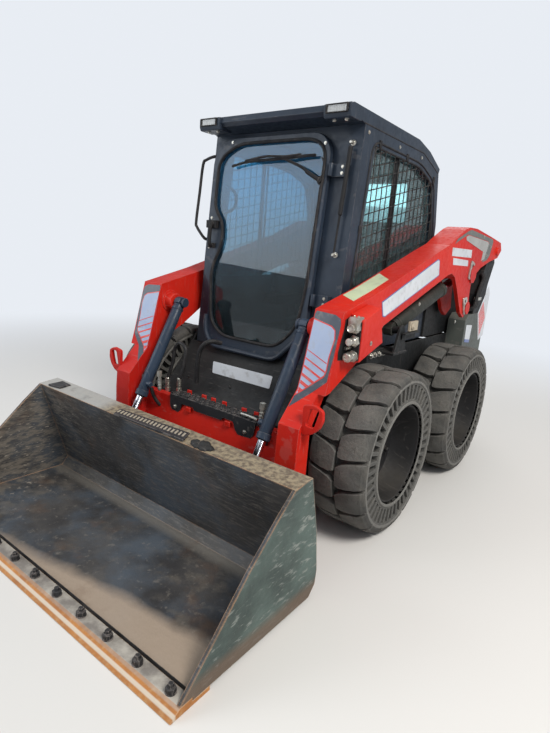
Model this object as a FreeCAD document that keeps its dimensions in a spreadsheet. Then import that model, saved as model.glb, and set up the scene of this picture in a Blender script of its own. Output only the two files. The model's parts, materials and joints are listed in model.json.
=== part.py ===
"""A wheeled skid steer loader with a bucket, as a parametric document in millimetres.

Every piece is drawn in the machine's own frame: +Z up, the ground at z = 0, the front axle at
y = 0, the front towards -Y and the operator's left hand at +X. Each piece is then moved along Y
by front_axle_y, which puts the origin under the middle of the whole machine.
"""
import FreeCAD, Part
import Sketcher
import math
import os
import re

DOCUMENT = FreeCAD.newDocument("SkidSteerLoader")
SHEET = DOCUMENT.addObject("Spreadsheet::Sheet", "Sizes")
V = FreeCAD.Vector

# Driving dimensions: alias, millimetres or degrees. Pins are named by what turns on them.
SIZES = (
    ("front_axle_y", -290),
    ("wheelbase", 1072),
    ("tyre_radius", 419),
    ("tyre_width", 305),
    ("axle_reach", 65),
    ("lug_height", 30),
    ("lug_count", 18),
    ("lug_width", 104),
    ("lug_slant", 10),
    ("slot_radius", 326),
    ("rim_radius", 257),
    ("rim_wall", 10),
    ("rim_depth", 150),
    ("hub_radius", 95),
    ("hub_length", 70),
    ("axle_radius", 70),
    ("frame_half_width", 520),
    ("frame_wall", 12),
    ("frame_bottom", 190),
    ("frame_top", 850),
    ("frame_front", -345),
    ("frame_rear", 2008),
    ("quarter_front", 1525),
    ("quarter_top", 1000),
    ("quarter_bottom", 360),
    ("quarter_width", 130),
    ("cab_half_width", 487),
    ("cab_wall", 40),
    ("cab_bottom", 850),
    ("cab_front_foot", -110),
    ("cab_front_head", -10),
    ("cab_rear", 1085),
    ("sill_height", 772),
    ("roof_seam", 1985),
    ("roof_thickness", 66),
    ("visor_reach", 135),
    ("glass_thickness", 6),
    ("rear_window_half", 288),
    ("wire_width", 7),
    ("hood_top", 1440),
    ("hood_inset", 20),
    ("hood_wall", 6),
    ("door_hinge_x", 350),
    ("door_left", -455),
    ("door_thickness", 34),
    ("door_gap", 6),
    ("door_rim", 42),
    ("knuckle_radius", 12),
    ("rear_door_thickness", 44),
    ("rear_door_bottom", 450),
    ("arm_inner", 530),
    ("arm_width", 150),
    ("arm_plate", 25),
    ("leg_width", 112),
    ("coupler_radius", 19),
    ("coupler_neck", 5),
    ("coupler_cover_depth", 65),
    ("tail_pin_y", 1930),
    ("tail_pin_z", 1480),
    ("tail_pin_radius", 30),
    ("lift_base_y", 290),
    ("lift_base_z", 992),
    ("lift_eye_y", 1390),
    ("lift_eye_z", 1302),
    ("lift_barrel_radius", 43),
    ("lift_barrel_length", 745),
    ("lift_rod_radius", 25),
    ("lift_eye_radius", 34),
    ("lift_pin_radius", 20),
    ("lift_stroke", 360),
    ("lift_spare", 20),
    ("leg_pin_y", 1370),
    ("leg_pin_z", 1064),
    ("tool_pin_y", -600),
    ("tool_pin_z", 165),
    ("tool_pin_radius", 24),
    ("tilt_x", 440),
    ("tilt_base_y", -300),
    ("tilt_base_z", 1030),
    ("tilt_eye_y", -660),
    ("tilt_eye_z", 350),
    ("tilt_barrel_radius", 31),
    ("tilt_barrel_length", 580),
    ("tilt_rod_radius", 20),
    ("tilt_eye_radius", 28),
    ("tilt_pin_radius", 18),
    ("tilt_stroke", 305),
    ("tilt_spare", 80),
    ("rod_clearance", 0.4),
    ("pin_clearance", 0.08),
    ("moving_gap", 6),
    ("bucket_half_width", 875),
    ("bucket_lip", -1450),
    ("bucket_back", -715),
    ("bucket_height", 563),
    ("bucket_plate", 14),
    ("bucket_side", 16),
    ("edge_thickness", 16),
    ("edge_reach", 37),
    ("ledge_depth", 110),
    ("ledge_height", 58),
    ("attach_plate", 15),
    ("beam_y", -500),
    ("beam_z", 275),
    ("beam_depth", 92),
    ("beam_height", 245),
    ("beam_lean", 46),
    ("gusset", 14),
)

FUNCTIONS = ("cos", "sin", "tan", "atan", "sqrt")


def fill_sheet():
    """Writes each driving dimension as a plain number, with its name beside it and as its alias."""
    for row, (alias, number) in enumerate(SIZES, start=1):
        SHEET.set("A%d" % row, alias)
        SHEET.set("B%d" % row, str(number))
        SHEET.setAlias("B%d" % row, alias)
    DOCUMENT.recompute()


def size(alias):
    """The number that the sheet holds for a driving dimension."""
    return float(SHEET.get(alias))


def cells(text):
    """An expression over the sheet's aliases, as the document writes it."""
    def prefix(match):
        word = match.group(0)
        return word if word in FUNCTIONS else "Sizes." + word
    return re.sub(r"[a-z_][a-z_0-9]*", prefix, str(text))


def bind(thing, path, text):
    """Ties one property of an object to an expression over the sheet."""
    thing.setExpression(path, cells(text))


def number_of(text):
    """The present value of an expression over the sheet."""
    value = SHEET.evalExpression(cells(text))
    return float(getattr(value, "Value", value))


def plane(body, role):
    """One of a body's own origin planes, found by its role."""
    for feature in body.Origin.OriginFeatures:
        if feature.Role == role:
            return feature
    raise ValueError(role)


def new_body(name):
    return DOCUMENT.addObject("PartDesign::Body", name)


def outline(body, name, role, points):
    """A closed sketch of straight lines whose corners are bound, one by one, to the sheet."""
    sketch = body.newObject("Sketcher::SketchObject", name)
    sketch.AttachmentSupport = (plane(body, role), "")
    sketch.MapMode = "FlatFace"
    spots = [V(number_of(a), number_of(b), 0) for a, b in points]
    count = len(spots)
    for index in range(count):
        sketch.addGeometry(Part.LineSegment(spots[index], spots[(index + 1) % count]), False)
    for index in range(count):
        sketch.addConstraint(
            Sketcher.Constraint("Coincident", index, 2, (index + 1) % count, 1))
    for index, (across, up) in enumerate(points):
        for kind, text, start in (
            ("DistanceX", across, spots[index].x),
            ("DistanceY", up, spots[index].y),
        ):
            row = sketch.addConstraint(Sketcher.Constraint(kind, -1, 1, index, 1, start))
            sketch.setExpression("Constraints[%d]" % row, cells(text))
    return sketch


def pad(body, name, sketch, length, both_ways=False, backwards=False):
    """A sketch pulled out by a length, to one side or half of it to each."""
    feature = body.newObject("PartDesign::Pad", name)
    feature.Profile = sketch
    feature.Midplane = both_ways
    feature.Reversed = backwards
    bind(feature, "Length", length)
    return feature


def pocket(body, name, sketch, length, both_ways=False, backwards=False):
    """A sketch cut through the body. The volume is compared, because a miss shows no error."""
    DOCUMENT.recompute()
    before = body.Shape.Volume
    feature = body.newObject("PartDesign::Pocket", name)
    feature.Profile = sketch
    feature.Midplane = both_ways
    feature.Reversed = backwards
    bind(feature, "Length", length)
    DOCUMENT.recompute()
    if body.Shape.Volume >= before - 1:
        raise RuntimeError(name + " cuts nothing")
    return feature


def turned(body, name, points):
    """A profile of (distance along X, radius) pairs turned about the body's X axis."""
    sketch = outline(body, name + "_profile", "XZ_Plane", points)
    feature = body.newObject("PartDesign::Revolution", name)
    feature.Profile = sketch
    feature.ReferenceAxis = (sketch, ["H_Axis"])
    feature.Angle = 360
    return feature


def bore(body, name, radius, length):
    """A round hole along the body's own Y axis, through its origin."""
    DOCUMENT.recompute()
    sketch = body.newObject("Sketcher::SketchObject", name + "_circle")
    sketch.AttachmentSupport = (plane(body, "XZ_Plane"), "")
    sketch.MapMode = "FlatFace"
    start = number_of(radius)
    sketch.addGeometry(Part.Circle(V(), V(0, 0, 1), start), False)
    sketch.addConstraint(Sketcher.Constraint("Coincident", 0, 3, -1, 1))
    row = sketch.addConstraint(Sketcher.Constraint("Radius", 0, start))
    sketch.setExpression("Constraints[%d]" % row, cells(radius))
    return pocket(body, name, sketch, length, both_ways=True)


def rounded(body, name, corners, radius, along="x"):
    """Rounds the edges parallel to one axis that pass through the given corners."""
    DOCUMENT.recompute()
    tip = body.Tip
    spots = [(number_of(a), number_of(b)) for a, b in corners]
    axis = "xyz".index(along)
    others = [index for index in range(3) if index != axis]
    names = []
    for index, edge in enumerate(tip.Shape.Edges, start=1):
        first, last = edge.Vertexes[0].Point, edge.Vertexes[-1].Point
        if math.dist([first[k] for k in others], [last[k] for k in others]) > 0.01:
            continue
        if any(math.dist([first[k] for k in others], spot) < 0.5 for spot in spots):
            names.append("Edge%d" % index)
    if not names:
        raise RuntimeError(name + " finds no edge")
    feature = body.newObject("PartDesign::Fillet", name)
    feature.Base = (tip, names)
    bind(feature, "Radius", radius)
    return feature


def at(thing, x="0", y="0", z="0"):
    """Places an object by three expressions."""
    for letter, text in zip("xyz", (x, y, z)):
        bind(thing, ".Placement.Base." + letter, text)
    return thing


def box(name, low, spans):
    """A block from its lowest corner and its three sides, all expressions."""
    block = DOCUMENT.addObject("Part::Box", name)
    for side, text in zip(("Length", "Width", "Height"), spans):
        bind(block, side, text)
    return at(block, *low)


def rod_x(name, x, y, z, radius, length):
    """A round bar that lies along X, from its lower end."""
    bar = DOCUMENT.addObject("Part::Cylinder", name)
    bar.Placement = FreeCAD.Placement(V(), FreeCAD.Rotation(V(0, 1, 0), 90))
    bind(bar, "Radius", radius)
    bind(bar, "Height", length)
    return at(bar, x, y, z)


def rod_front(name, x, y, z, radius, length):
    """A round bar that points to the front, from its rear end."""
    bar = DOCUMENT.addObject("Part::Cylinder", name)
    bar.Placement = FreeCAD.Placement(V(), FreeCAD.Rotation(V(1, 0, 0), 90))
    bind(bar, "Radius", radius)
    bind(bar, "Height", length)
    return at(bar, x, y, z)


def fused(name, pieces):
    joined = DOCUMENT.addObject("Part::MultiFuse", name)
    joined.Shapes = pieces
    joined.Refine = True
    return joined


def cut(name, base, tools):
    """A piece with one or more tools taken out of it."""
    tool = tools[0] if len(tools) == 1 else fused(name + "_tools", tools)
    result = DOCUMENT.addObject("Part::Cut", name)
    result.Base = base
    result.Tool = tool
    return result


def mirrored(name, source):
    """The same piece on the machine's other side."""
    other = DOCUMENT.addObject("Part::Mirroring", name)
    other.Source = source
    other.Normal = V(1, 0, 0)
    return other


def pair(name, source):
    """A left piece and its mirror image, held together as one sub-part."""
    return held(name, [source, mirrored(name + "_right", source)])


NODES = []


def held(name, pieces):
    """Pieces that don't touch, held together as one sub-part."""
    group = DOCUMENT.addObject("Part::Compound", name)
    group.Links = pieces
    return group


def keep(thing, label, shifted=True):
    """Names a finished sub-part, and moves it so that the origin is under the machine's middle."""
    thing.Label = label
    if shifted:
        bind(thing, ".Placement.Base.y", "front_axle_y")
    NODES.append((label, thing))
    return thing


def side_plate(name, points, x, thickness):
    """A plate in the side view, from x outwards by its thickness."""
    body = new_body(name)
    pad(body, name + "_pad", outline(body, name + "_outline", "YZ_Plane", points), thickness)
    bind(body, ".Placement.Base.x", x)
    return body


def octagon(y, z, radius):
    """Eight corners round a point of the side view."""
    bevel = "0.414 * (%s)" % radius
    corners = []
    for across, up in (("-" + bevel, "-(%s)" % radius), (bevel, "-(%s)" % radius)):
        corners.append((across, up))
    corners += [("(%s)" % radius, "-" + bevel), ("(%s)" % radius, bevel),
                (bevel, "(%s)" % radius), ("-" + bevel, "(%s)" % radius),
                ("-(%s)" % radius, bevel), ("-(%s)" % radius, "-" + bevel)]
    return tuple(("%s + %s" % (y, across), "%s + %s" % (z, up)) for across, up in corners)


def boss(name, x, y, z, radius, length):
    """A short eight-sided boss that lies along X."""
    return side_plate(name, octagon(y, z, radius), x, length)


# Wheels

WHEELS = (
    # name, side (+1 is the left), axle's distance behind the front axle
    ("front_left", 1, "0"),
    ("front_right", -1, "0"),
    ("rear_left", 1, "wheelbase"),
    ("rear_right", -1, "wheelbase"),
)


def ring_of_flats(profile, sides):
    """A closed solid ring of flat facets: each (x, radius) of the profile is one polygon round X."""
    def corner(step, x, radius):
        angle = 2 * math.pi * (step + 0.5) / sides
        return V(x, radius * math.sin(angle), radius * math.cos(angle))
    faces = []
    count = len(profile)
    for step in range(sides):
        for index in range(count):
            a, b = profile[index], profile[(index + 1) % count]
            loop = [corner(step, *a), corner(step, *b)]
            loop += [corner(step + 1, *end) for end in (b, a) if end[1] > 0]
            if a[1] > 0 or b[1] > 0:
                faces.append(Part.Face(Part.makePolygon(loop + loop[:1])))
    solid = Part.Solid(Part.Shell(faces))
    if solid.Volume < 0:
        solid.reverse()
    return solid


SHOULDER_DEPTH = 59
BLOCK_SHOULDER = (
    # distance in from the side wall, depth below the tyre's radius
    (9, 22),
    (44, 0),
)
GROOVE_SHOULDER = 36


def tread_half(side):
    """The tread from one side wall to the middle: blocks and grooves by turns, with a slant."""
    half = size("tyre_width") / 2
    radius = size("tyre_radius")
    ditch = size("lug_height")
    root = radius - size("slot_radius") + 40
    count = int(round(size("lug_count")))
    pitch = 2 * math.pi / count
    block_angle = size("lug_width") / radius
    twist = math.tan(math.radians(size("lug_slant"))) / radius

    def corner(spot, angle):
        x, depth = spot
        reach = radius - depth
        return V(side * x, reach * math.sin(angle + twist * x), -reach * math.cos(angle + twist * x))

    shoulder = (half, SHOULDER_DEPTH)
    crown = [(half - x, depth) for x, depth in BLOCK_SHOULDER] + [(0, 0)]
    low_shoulder = (half - GROOVE_SHOULDER, ditch)
    block = [(half, root), shoulder, *crown, (0, ditch), (0, root)]
    groove = [(half, root), shoulder, low_shoulder, (0, ditch), (0, root)]
    triangles = []
    for step in range(count):
        low = pitch * (step + (0 if side > 0 else 0.5))
        for ring, first, last in ((block, low, low + block_angle),
                                  (groove, low + block_angle, low + pitch)):
            for a, b in zip(ring, ring[1:] + ring[:1]):
                triangles.append(((a, first), (b, first), (b, last)))
                triangles.append(((a, first), (b, last), (a, last)))
        # The wall at each end of a block is a fan round the groove's shoulder.
        wall = [shoulder, *crown, (0, ditch)]
        for angle in (low, low + block_angle):
            for a, b in zip(wall, wall[1:]):
                triangles.append(((low_shoulder, angle), (a, angle), (b, angle)))
    faces = []
    for three in triangles:
        spots = [corner(*end) for end in three]
        faces.append(Part.Face(Part.makePolygon(spots + spots[:1])))
    shell = Part.makeShell(faces)
    shell.sewShape()
    solid = Part.Solid(shell)
    if solid.Volume < 0:
        solid.reverse()
    return solid


SLOT_WIDTH = 30
SLOT_HEIGHT = 54
BORE_SIDES = 14


def tyre_shape():
    """A solid tyre: carcass, slots through its sides and two staggered rows of tread blocks."""
    half = size("tyre_width") / 2
    count = int(round(size("lug_count")))
    sides = int(round(BORE_SIDES))
    flat = math.cos(math.pi / sides)
    inner = (size("rim_radius") + 0.3) / flat
    outer = (size("slot_radius") - SLOT_HEIGHT / 2) / flat
    section = ((-half, inner), (half, inner), (half, outer), (-half, outer))
    carcass = ring_of_flats(section, sides)
    whole = carcass.multiFuse([tread_half(1), tread_half(-1)])
    slots = []
    for step in range(count):
        slot = Part.makeBox(size("tyre_width") + 20, SLOT_WIDTH, SLOT_HEIGHT,
                            V(-half - 10, -SLOT_WIDTH / 2, size("slot_radius") - SLOT_HEIGHT / 2))
        slot.rotate(V(), V(1, 0, 0), 360.0 / count * step)
        slots.append(slot)
    return whole.cut(Part.makeCompound(slots)).removeSplitter()


RIM_SIDES = 24


def rim_shape():
    """A deep dished rim with its hub, as a ring of flats that fits the tyre's bore."""
    half = size("tyre_width") / 2
    outer = size("rim_radius")
    hub = size("hub_radius")
    face = half - 6 - size("rim_depth")
    return ring_of_flats((
        (20 - half, outer),
        (half - 16, outer),
        (half - 16, outer - size("rim_wall")),
        (face, outer - 46),
        (face - 10, hub + 20),
        (face + size("hub_length") / 2, hub),
        (face + size("hub_length") / 2, 0),
        (20 - half, 0),
    ), int(round(RIM_SIDES)))


def wheel(shape, name, side, axle):
    """A tyre and the rim that it is pressed on, at one corner of the machine."""
    centre = side * number_of("frame_half_width + axle_reach + tyre_width / 2")
    turn = FreeCAD.Rotation(V(0, 0, 1), 0 if side > 0 else 180)
    place = V(centre, number_of(axle) + size("front_axle_y"), size("tyre_radius"))
    tyre = DOCUMENT.addObject("Part::Feature", name + "_tyre_piece")
    tyre.Shape = shape.copy()
    tyre.Placement = FreeCAD.Placement(place, turn)
    keep(tyre, name + "_tyre", shifted=False)
    rim = DOCUMENT.addObject("Part::Feature", name + "_rim_piece")
    rim.Shape = rim_shape()
    rim.Placement = FreeCAD.Placement(place, turn)
    keep(rim, name + "_rim", shifted=False)


def axle_stubs():
    """The four hub carriers between the frame's sides and the rims."""
    stubs = []
    for index, axle in enumerate(("0", "wheelbase")):
        tube = rod_x("axle_tube_%d" % index, "frame_half_width", axle, "tyre_radius",
                     "axle_radius", "axle_reach + 20 - moving_gap")
        flange = box("axle_flange_%d" % index,
                     ("frame_half_width", axle + " - axle_radius * 1.5",
                      "tyre_radius - axle_radius * 1.5"),
                     ("18", "axle_radius * 3", "axle_radius * 3"))
        stubs.append(fused("axle_stub_%d" % index, [tube, flange]))
    keep(pair("axle_stubs_both", held("left_axle_stubs", stubs)), "axle_stubs")


# Chassis

def main_frame():
    """The welded tub between the wheels: open above and behind, with plates all round."""
    body = new_body("main_frame_piece")
    outer = (
        ("frame_front + 60", "frame_bottom"),
        ("frame_front", "frame_bottom + 90"),
        ("frame_front", "sill_height - 270"),
        ("cab_front_foot - 20", "sill_height - 8"),
        ("cab_front_foot + 40", "frame_top - 4"),
        ("frame_rear", "frame_top - 4"),
        ("frame_rear", "frame_bottom + 190"),
        ("frame_rear - 130", "frame_bottom"),
    )
    inner = (
        ("frame_front + 60 + frame_wall", "frame_bottom + frame_wall"),
        ("frame_front + frame_wall", "frame_bottom + 90 + frame_wall"),
        ("frame_front + frame_wall", "sill_height - 270"),
        ("cab_front_foot - 20 + frame_wall", "sill_height - 8"),
        ("cab_front_foot - 20 + frame_wall", "frame_top + 50"),
        ("frame_rear + 50", "frame_top + 50"),
        ("frame_rear + 50", "frame_bottom + 260"),
        ("frame_rear - frame_wall", "frame_bottom + 260"),
        ("frame_rear - frame_wall", "frame_bottom + 190"),
        ("frame_rear - 130", "frame_bottom + frame_wall"),
    )
    pad(body, "frame_pad", outline(body, "frame_outer", "YZ_Plane", outer),
        "2 * frame_half_width", both_ways=True)
    pocket(body, "frame_hollow", outline(body, "frame_inner", "YZ_Plane", inner),
           "2 * (frame_half_width - frame_wall)", both_ways=True)
    keep(body, "main_frame")


def rear_quarters():
    """The boxes behind the rear wheels, which carry the arm towers."""
    points = (
        ("quarter_front + 60", "quarter_bottom"),
        ("quarter_front", "quarter_bottom + 240"),
        ("quarter_front", "quarter_top - 40"),
        ("quarter_front + 60", "quarter_top"),
        ("frame_rear", "quarter_top"),
        ("frame_rear", "quarter_bottom"),
    )
    left = side_plate("rear_quarter", points, "frame_half_width", "quarter_width")
    keep(pair("rear_quarters_both", left), "rear_quarters")


def arm_towers():
    """The uprights that stand in the arms' forked tails and carry the tail pins."""
    points = (
        ("tail_pin_y - 250", "quarter_top"),
        ("tail_pin_y - 235", "tail_pin_z - 330"),
        ("tail_pin_y - 90", "tail_pin_z - 80"),
        ("tail_pin_y - 62", "tail_pin_z"),
        ("tail_pin_y - 44", "tail_pin_z + 44"),
        ("tail_pin_y", "tail_pin_z + 62"),
        ("tail_pin_y + 44", "tail_pin_z + 44"),
        ("tail_pin_y + 62", "tail_pin_z"),
        ("tail_pin_y + 118", "tail_pin_z - 90"),
        ("tail_pin_y + 26", "tail_pin_z - 260"),
        ("tail_pin_y - 10", "quarter_top"),
    )
    width = "arm_width - 2 * arm_plate - 2 * moving_gap"
    plate = side_plate("arm_tower_blank", points, "arm_inner + arm_plate + moving_gap", width)
    hole = rod_x("arm_tower_bore", "arm_inner", "tail_pin_y", "tail_pin_z",
                 "tail_pin_radius + pin_clearance", "arm_width")
    keep(pair("arm_towers_both", cut("arm_tower", plate, [hole])), "arm_towers")


def lift_brackets():
    """The forks over the front tyres that hold the lift cylinders' lower ends."""
    deck_z = "tyre_radius * 2 + 24"
    deck = box("lift_deck", ("frame_half_width", "lift_base_y - 90", deck_z),
               ("arm_inner + arm_width + 8 - frame_half_width", "180", "14"))
    side = box("lift_side", ("frame_half_width", "lift_base_y - 90", "frame_top - 160"),
               ("14", "180", "160 + 14"))
    forks = []
    for index, x in enumerate(("arm_inner - 4", "arm_inner + arm_width - 10")):
        points = (
            ("lift_base_y - 80", deck_z),
            ("lift_base_y - 34", "lift_base_z + 4"),
            ("lift_base_y - 14", "lift_base_z + 30"),
            ("lift_base_y + 14", "lift_base_z + 30"),
            ("lift_base_y + 34", "lift_base_z + 4"),
            ("lift_base_y + 80", deck_z),
        )
        forks.append(side_plate("lift_fork_%d" % index, points, x, "14"))
    pin = rod_x("lift_base_pin", "arm_inner - 4", "lift_base_y", "lift_base_z", "lift_pin_radius",
                "arm_width + 8")
    keep(pair("lift_brackets_both", fused("lift_bracket", [deck, side, *forks, pin])),
         "lift_brackets")


def engine():
    """The heavy block behind the operator, at its place and size."""
    front = "frame_rear - 718"
    block = box("engine_crankcase", ("-190", front, "frame_bottom + 120"), ("380", "560", "430"))
    head = box("engine_head", ("-120", front + " + 40", "frame_bottom + 550"),
               ("240", "460", "170"))
    feet = box("engine_feet", ("-300", front + " + 90", "frame_bottom + frame_wall"),
               ("600", "300", "120 - frame_wall"))
    keep(fused("engine_piece", [block, head, feet]), "engine_block")


def hood():
    """The cover over the engine, between the arms."""
    body = new_body("hood_piece")
    outer = (
        ("cab_rear + 8", "frame_top"),
        ("cab_rear + 8", "hood_top"),
        ("frame_rear - 160", "hood_top - 34"),
        ("frame_rear", "hood_top - 96"),
        ("frame_rear", "frame_top"),
    )
    inner = (
        ("cab_rear + 8 + hood_wall", "frame_top - 20"),
        ("cab_rear + 8 + hood_wall", "hood_top - hood_wall"),
        ("frame_rear - 162", "hood_top - 34 - hood_wall"),
        ("frame_rear - 60", "hood_top - 84"),
        ("frame_rear + 40", "hood_top - 124"),
        ("frame_rear + 40", "frame_top - 20"),
    )
    pad(body, "hood_pad", outline(body, "hood_outer", "YZ_Plane", outer),
        "2 * (frame_half_width - hood_inset)", both_ways=True)
    pocket(body, "hood_hollow", outline(body, "hood_inner", "YZ_Plane", inner),
           "2 * ((frame_half_width - hood_inset) - hood_wall)", both_ways=True)
    rounded(body, "hood_edges", (("cab_rear + 8", "hood_top"), ("frame_rear - 160", "hood_top - 34")),
            "20")
    keep(body, "hood")


def rear_bumper():
    """The cast weight below the rear door."""
    body = new_body("rear_bumper_piece")
    points = (
        ("frame_rear", "quarter_bottom - 40"),
        ("frame_rear + 38", "quarter_bottom"),
        ("frame_rear + 50", "rear_door_bottom - 30"),
        ("frame_rear + 40", "rear_door_bottom - 8"),
        ("frame_rear", "rear_door_bottom - 8"),
    )
    pad(body, "bumper_pad", outline(body, "bumper_outline", "YZ_Plane", points),
        "2 * (frame_half_width - 10)", both_ways=True)
    keep(body, "rear_bumper")


def rear_door():
    """The engine door: a dished plate with two banks of louvre slots."""
    body = new_body("rear_door_piece")
    half = "(frame_half_width - hood_inset) - moving_gap"
    top = "hood_top - 104"
    points = (
        ("-(%s)" % half, "rear_door_bottom"),
        ("%s" % half, "rear_door_bottom"),
        ("%s" % half, top),
        ("-(%s)" % half, top),
    )
    pad(body, "rear_door_pad", outline(body, "rear_door_outline", "XZ_Plane", points),
        "rear_door_thickness", backwards=True)
    inside = (
        ("-(%s) + 30" % half, "rear_door_bottom + 30"),
        ("%s - 30" % half, "rear_door_bottom + 30"),
        ("%s - 30" % half, top + " - 30"),
        ("-(%s) + 30" % half, top + " - 30"),
    )
    pocket(body, "rear_door_dish", outline(body, "rear_door_inside", "XZ_Plane", inside),
           "rear_door_thickness - 8")
    slots = []
    for index in range(7):
        low = "rear_door_bottom + 240 + %d" % (70 * index)
        slots.append((low, low + " + 28"))
    for index, (low, high) in enumerate(slots):
        slot = outline(body, "louvre_outline_%d" % index, "XZ_Plane", (
            ("-330", low),
            ("330", low),
            ("330", high),
            ("-330", high),
        ))
        pocket(body, "louvre_%d" % index, slot, "2 * rear_door_thickness + 40", both_ways=True)
    bind(body, ".Placement.Base.y", "frame_rear + moving_gap")
    pieces = [body]
    for index, height in enumerate(("rear_door_bottom + 150", "hood_top - 260")):
        knuckle = DOCUMENT.addObject("Part::Cylinder", "rear_knuckle_%d" % index)
        bind(knuckle, "Radius", "knuckle_radius")
        bind(knuckle, "Height", "70")
        at(knuckle, "moving_gap - (frame_half_width - hood_inset)", "frame_rear + moving_gap + rear_door_thickness",
           height)
        pieces.append(knuckle)
    keep(fused("rear_door_hung", pieces), "rear_door")


def rear_lamps():
    """A tall lamp on the rear face of each quarter."""
    lamp = box("rear_lamp", ("frame_half_width + 20", "frame_rear", "quarter_top - 190"),
               ("quarter_width - 40", "22", "150"))
    keep(pair("rear_lamps_both", lamp), "rear_lamps")


# Cab

def cab_shell():
    """The operator's guard: one hollow welded shell with its door, side and rear openings cut."""
    body = new_body("cab_piece")
    outer = (
        ("cab_front_foot", "sill_height"),
        ("cab_front_head", "roof_seam"),
        ("725", "roof_seam"),
        ("1000", "roof_seam - 77"),
        ("cab_rear - 6", "roof_seam - 388"),
        ("cab_rear", "cab_bottom"),
        ("cab_front_foot + 46", "cab_bottom"),
        ("cab_front_foot + 40", "sill_height"),
    )
    lean = "(cab_front_head - cab_front_foot) / (roof_seam - sill_height)"
    inner = (
        ("cab_front_foot + cab_wall - 30 * %s" % lean, "sill_height - 30"),
        ("cab_front_head + cab_wall + 30 * %s" % lean, "roof_seam + 30"),
        ("690", "roof_seam + 30"),
        ("968", "roof_seam - 96"),
        ("cab_rear - 6 - cab_wall", "roof_seam - 400"),
        ("cab_rear - cab_wall", "cab_bottom - 30"),
    )
    pad(body, "cab_pad", outline(body, "cab_outer", "YZ_Plane", outer),
        "2 * cab_half_width", both_ways=True)
    pocket(body, "cab_hollow", outline(body, "cab_inner", "YZ_Plane", inner),
           "2 * (cab_half_width - cab_wall)", both_ways=True)
    pocket(body, "cab_side_windows", outline(body, "cab_side_opening", "YZ_Plane", SIDE_WINDOW),
           "2 * cab_half_width + 40", both_ways=True)
    front = (
        ("door_left + 100", "sill_height + 112"),
        ("door_left + 150", "sill_height + 34"),
        ("door_hinge_x - 215", "sill_height + 34"),
        ("door_hinge_x - 75", "sill_height + 190"),
        ("door_hinge_x - 50", "roof_seam - 110"),
        ("door_hinge_x - 110", "roof_seam - 62"),
        ("door_left + 120", "roof_seam - 62"),
        ("door_left + 36", "roof_seam - 130"),
        ("door_left + 36", "sill_height + 460"),
        ("door_left + 100", "sill_height + 360"),
    )
    pocket(body, "cab_door_opening", outline(body, "cab_front_opening", "XZ_Plane", front),
           "300", backwards=False, both_ways=True)
    rear = (
        ("-rear_window_half", "roof_seam - 378"),
        ("rear_window_half", "roof_seam - 378"),
        ("rear_window_half", "roof_seam - 130"),
        ("-rear_window_half", "roof_seam - 130"),
    )
    pocket(body, "cab_rear_window", outline(body, "cab_rear_opening", "XZ_Plane", rear),
           "cab_rear + 20")
    keep(body, "cab_shell")


SIDE_WINDOW = (
    # y behind the front axle, z
    ("cab_front_head + 120", "roof_seam - 75"),
    ("700", "roof_seam - 80"),
    ("930", "roof_seam - 148"),
    ("cab_rear - 70", "roof_seam - 430"),
    ("cab_rear - 70", "cab_bottom + 330"),
    ("cab_front_foot + 135", "cab_bottom + 330"),
)


def side_glass():
    """The two side panes, set into the inner half of the cab's side walls."""
    left = side_plate("side_pane", SIDE_WINDOW,
                      "cab_half_width - cab_wall + 4", "glass_thickness")
    keep(pair("side_glass_both", left), "side_glass")


SCREEN_ROWS = 3
SCREEN_COLUMNS = 4


def side_screens():
    """The wire screens in the outer half of the side openings, in a solid border."""
    spots = [V(0, number_of(a), number_of(b)) for a, b in SIDE_WINDOW]
    edge = Part.Face(Part.makePolygon(spots + spots[:1]))
    depth = 6
    frame = edge.BoundBox
    wire = size("wire_width")
    tall = frame.ZLength / SCREEN_ROWS
    wide = frame.YLength / SCREEN_COLUMNS
    holes = []
    for row in range(SCREEN_ROWS):
        for column in range(SCREEN_COLUMNS):
            corner = V(-10, frame.YMin + column * wide + wire / 2, frame.ZMin + row * tall + wire / 2)
            holes.append(Part.makeBox(depth + 20, wide - wire, tall - wire, corner))
    middle = edge.CenterOfMass
    inner = [middle + (spot - middle) * 0.95 for spot in spots]
    opening = Part.Face(Part.makePolygon(inner + inner[:1])).extrude(V(depth + 20, 0, 0))
    opening.translate(V(-10, 0, 0))
    tool = Part.makeCompound(holes).common(opening)
    left = DOCUMENT.addObject("Part::Feature", "side_screen")
    left.Shape = edge.extrude(V(depth, 0, 0)).cut(tool)
    place = V(size("cab_half_width") - depth - 4, 0, 0)
    left.Placement = FreeCAD.Placement(place, FreeCAD.Rotation())
    keep(pair("side_screens_both", left), "side_screens")


def cab_roof():
    """The roof panel, with the visor that reaches over the door."""
    body = new_body("cab_roof_piece")
    points = (
        ("cab_front_head - visor_reach", "roof_seam + 34"),
        ("cab_front_head - visor_reach + 12", "roof_seam + roof_thickness"),
        ("645", "roof_seam + roof_thickness - 6"),
        ("822", "roof_seam + roof_thickness - 40"),
        ("1012", "roof_seam - 44"),
        ("1000", "roof_seam - 77"),
        ("725", "roof_seam"),
        ("cab_front_head", "roof_seam"),
        ("cab_front_head - visor_reach + 20", "roof_seam + 16"),
    )
    pad(body, "roof_pad", outline(body, "roof_outline", "YZ_Plane", points),
        "2 * cab_half_width", both_ways=True)
    hollow = (
        ("cab_front_head + cab_wall", "roof_seam - 90"),
        ("cab_front_head + cab_wall", "roof_seam + roof_thickness - 12"),
        ("640", "roof_seam + roof_thickness - 18"),
        ("812", "roof_seam + roof_thickness - 52"),
        ("940", "roof_seam - 34"),
        ("940", "roof_seam - 90"),
    )
    pocket(body, "roof_hollow", outline(body, "roof_inside", "YZ_Plane", hollow),
           "2 * (cab_half_width - cab_wall)", both_ways=True)
    keep(body, "cab_roof")


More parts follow.
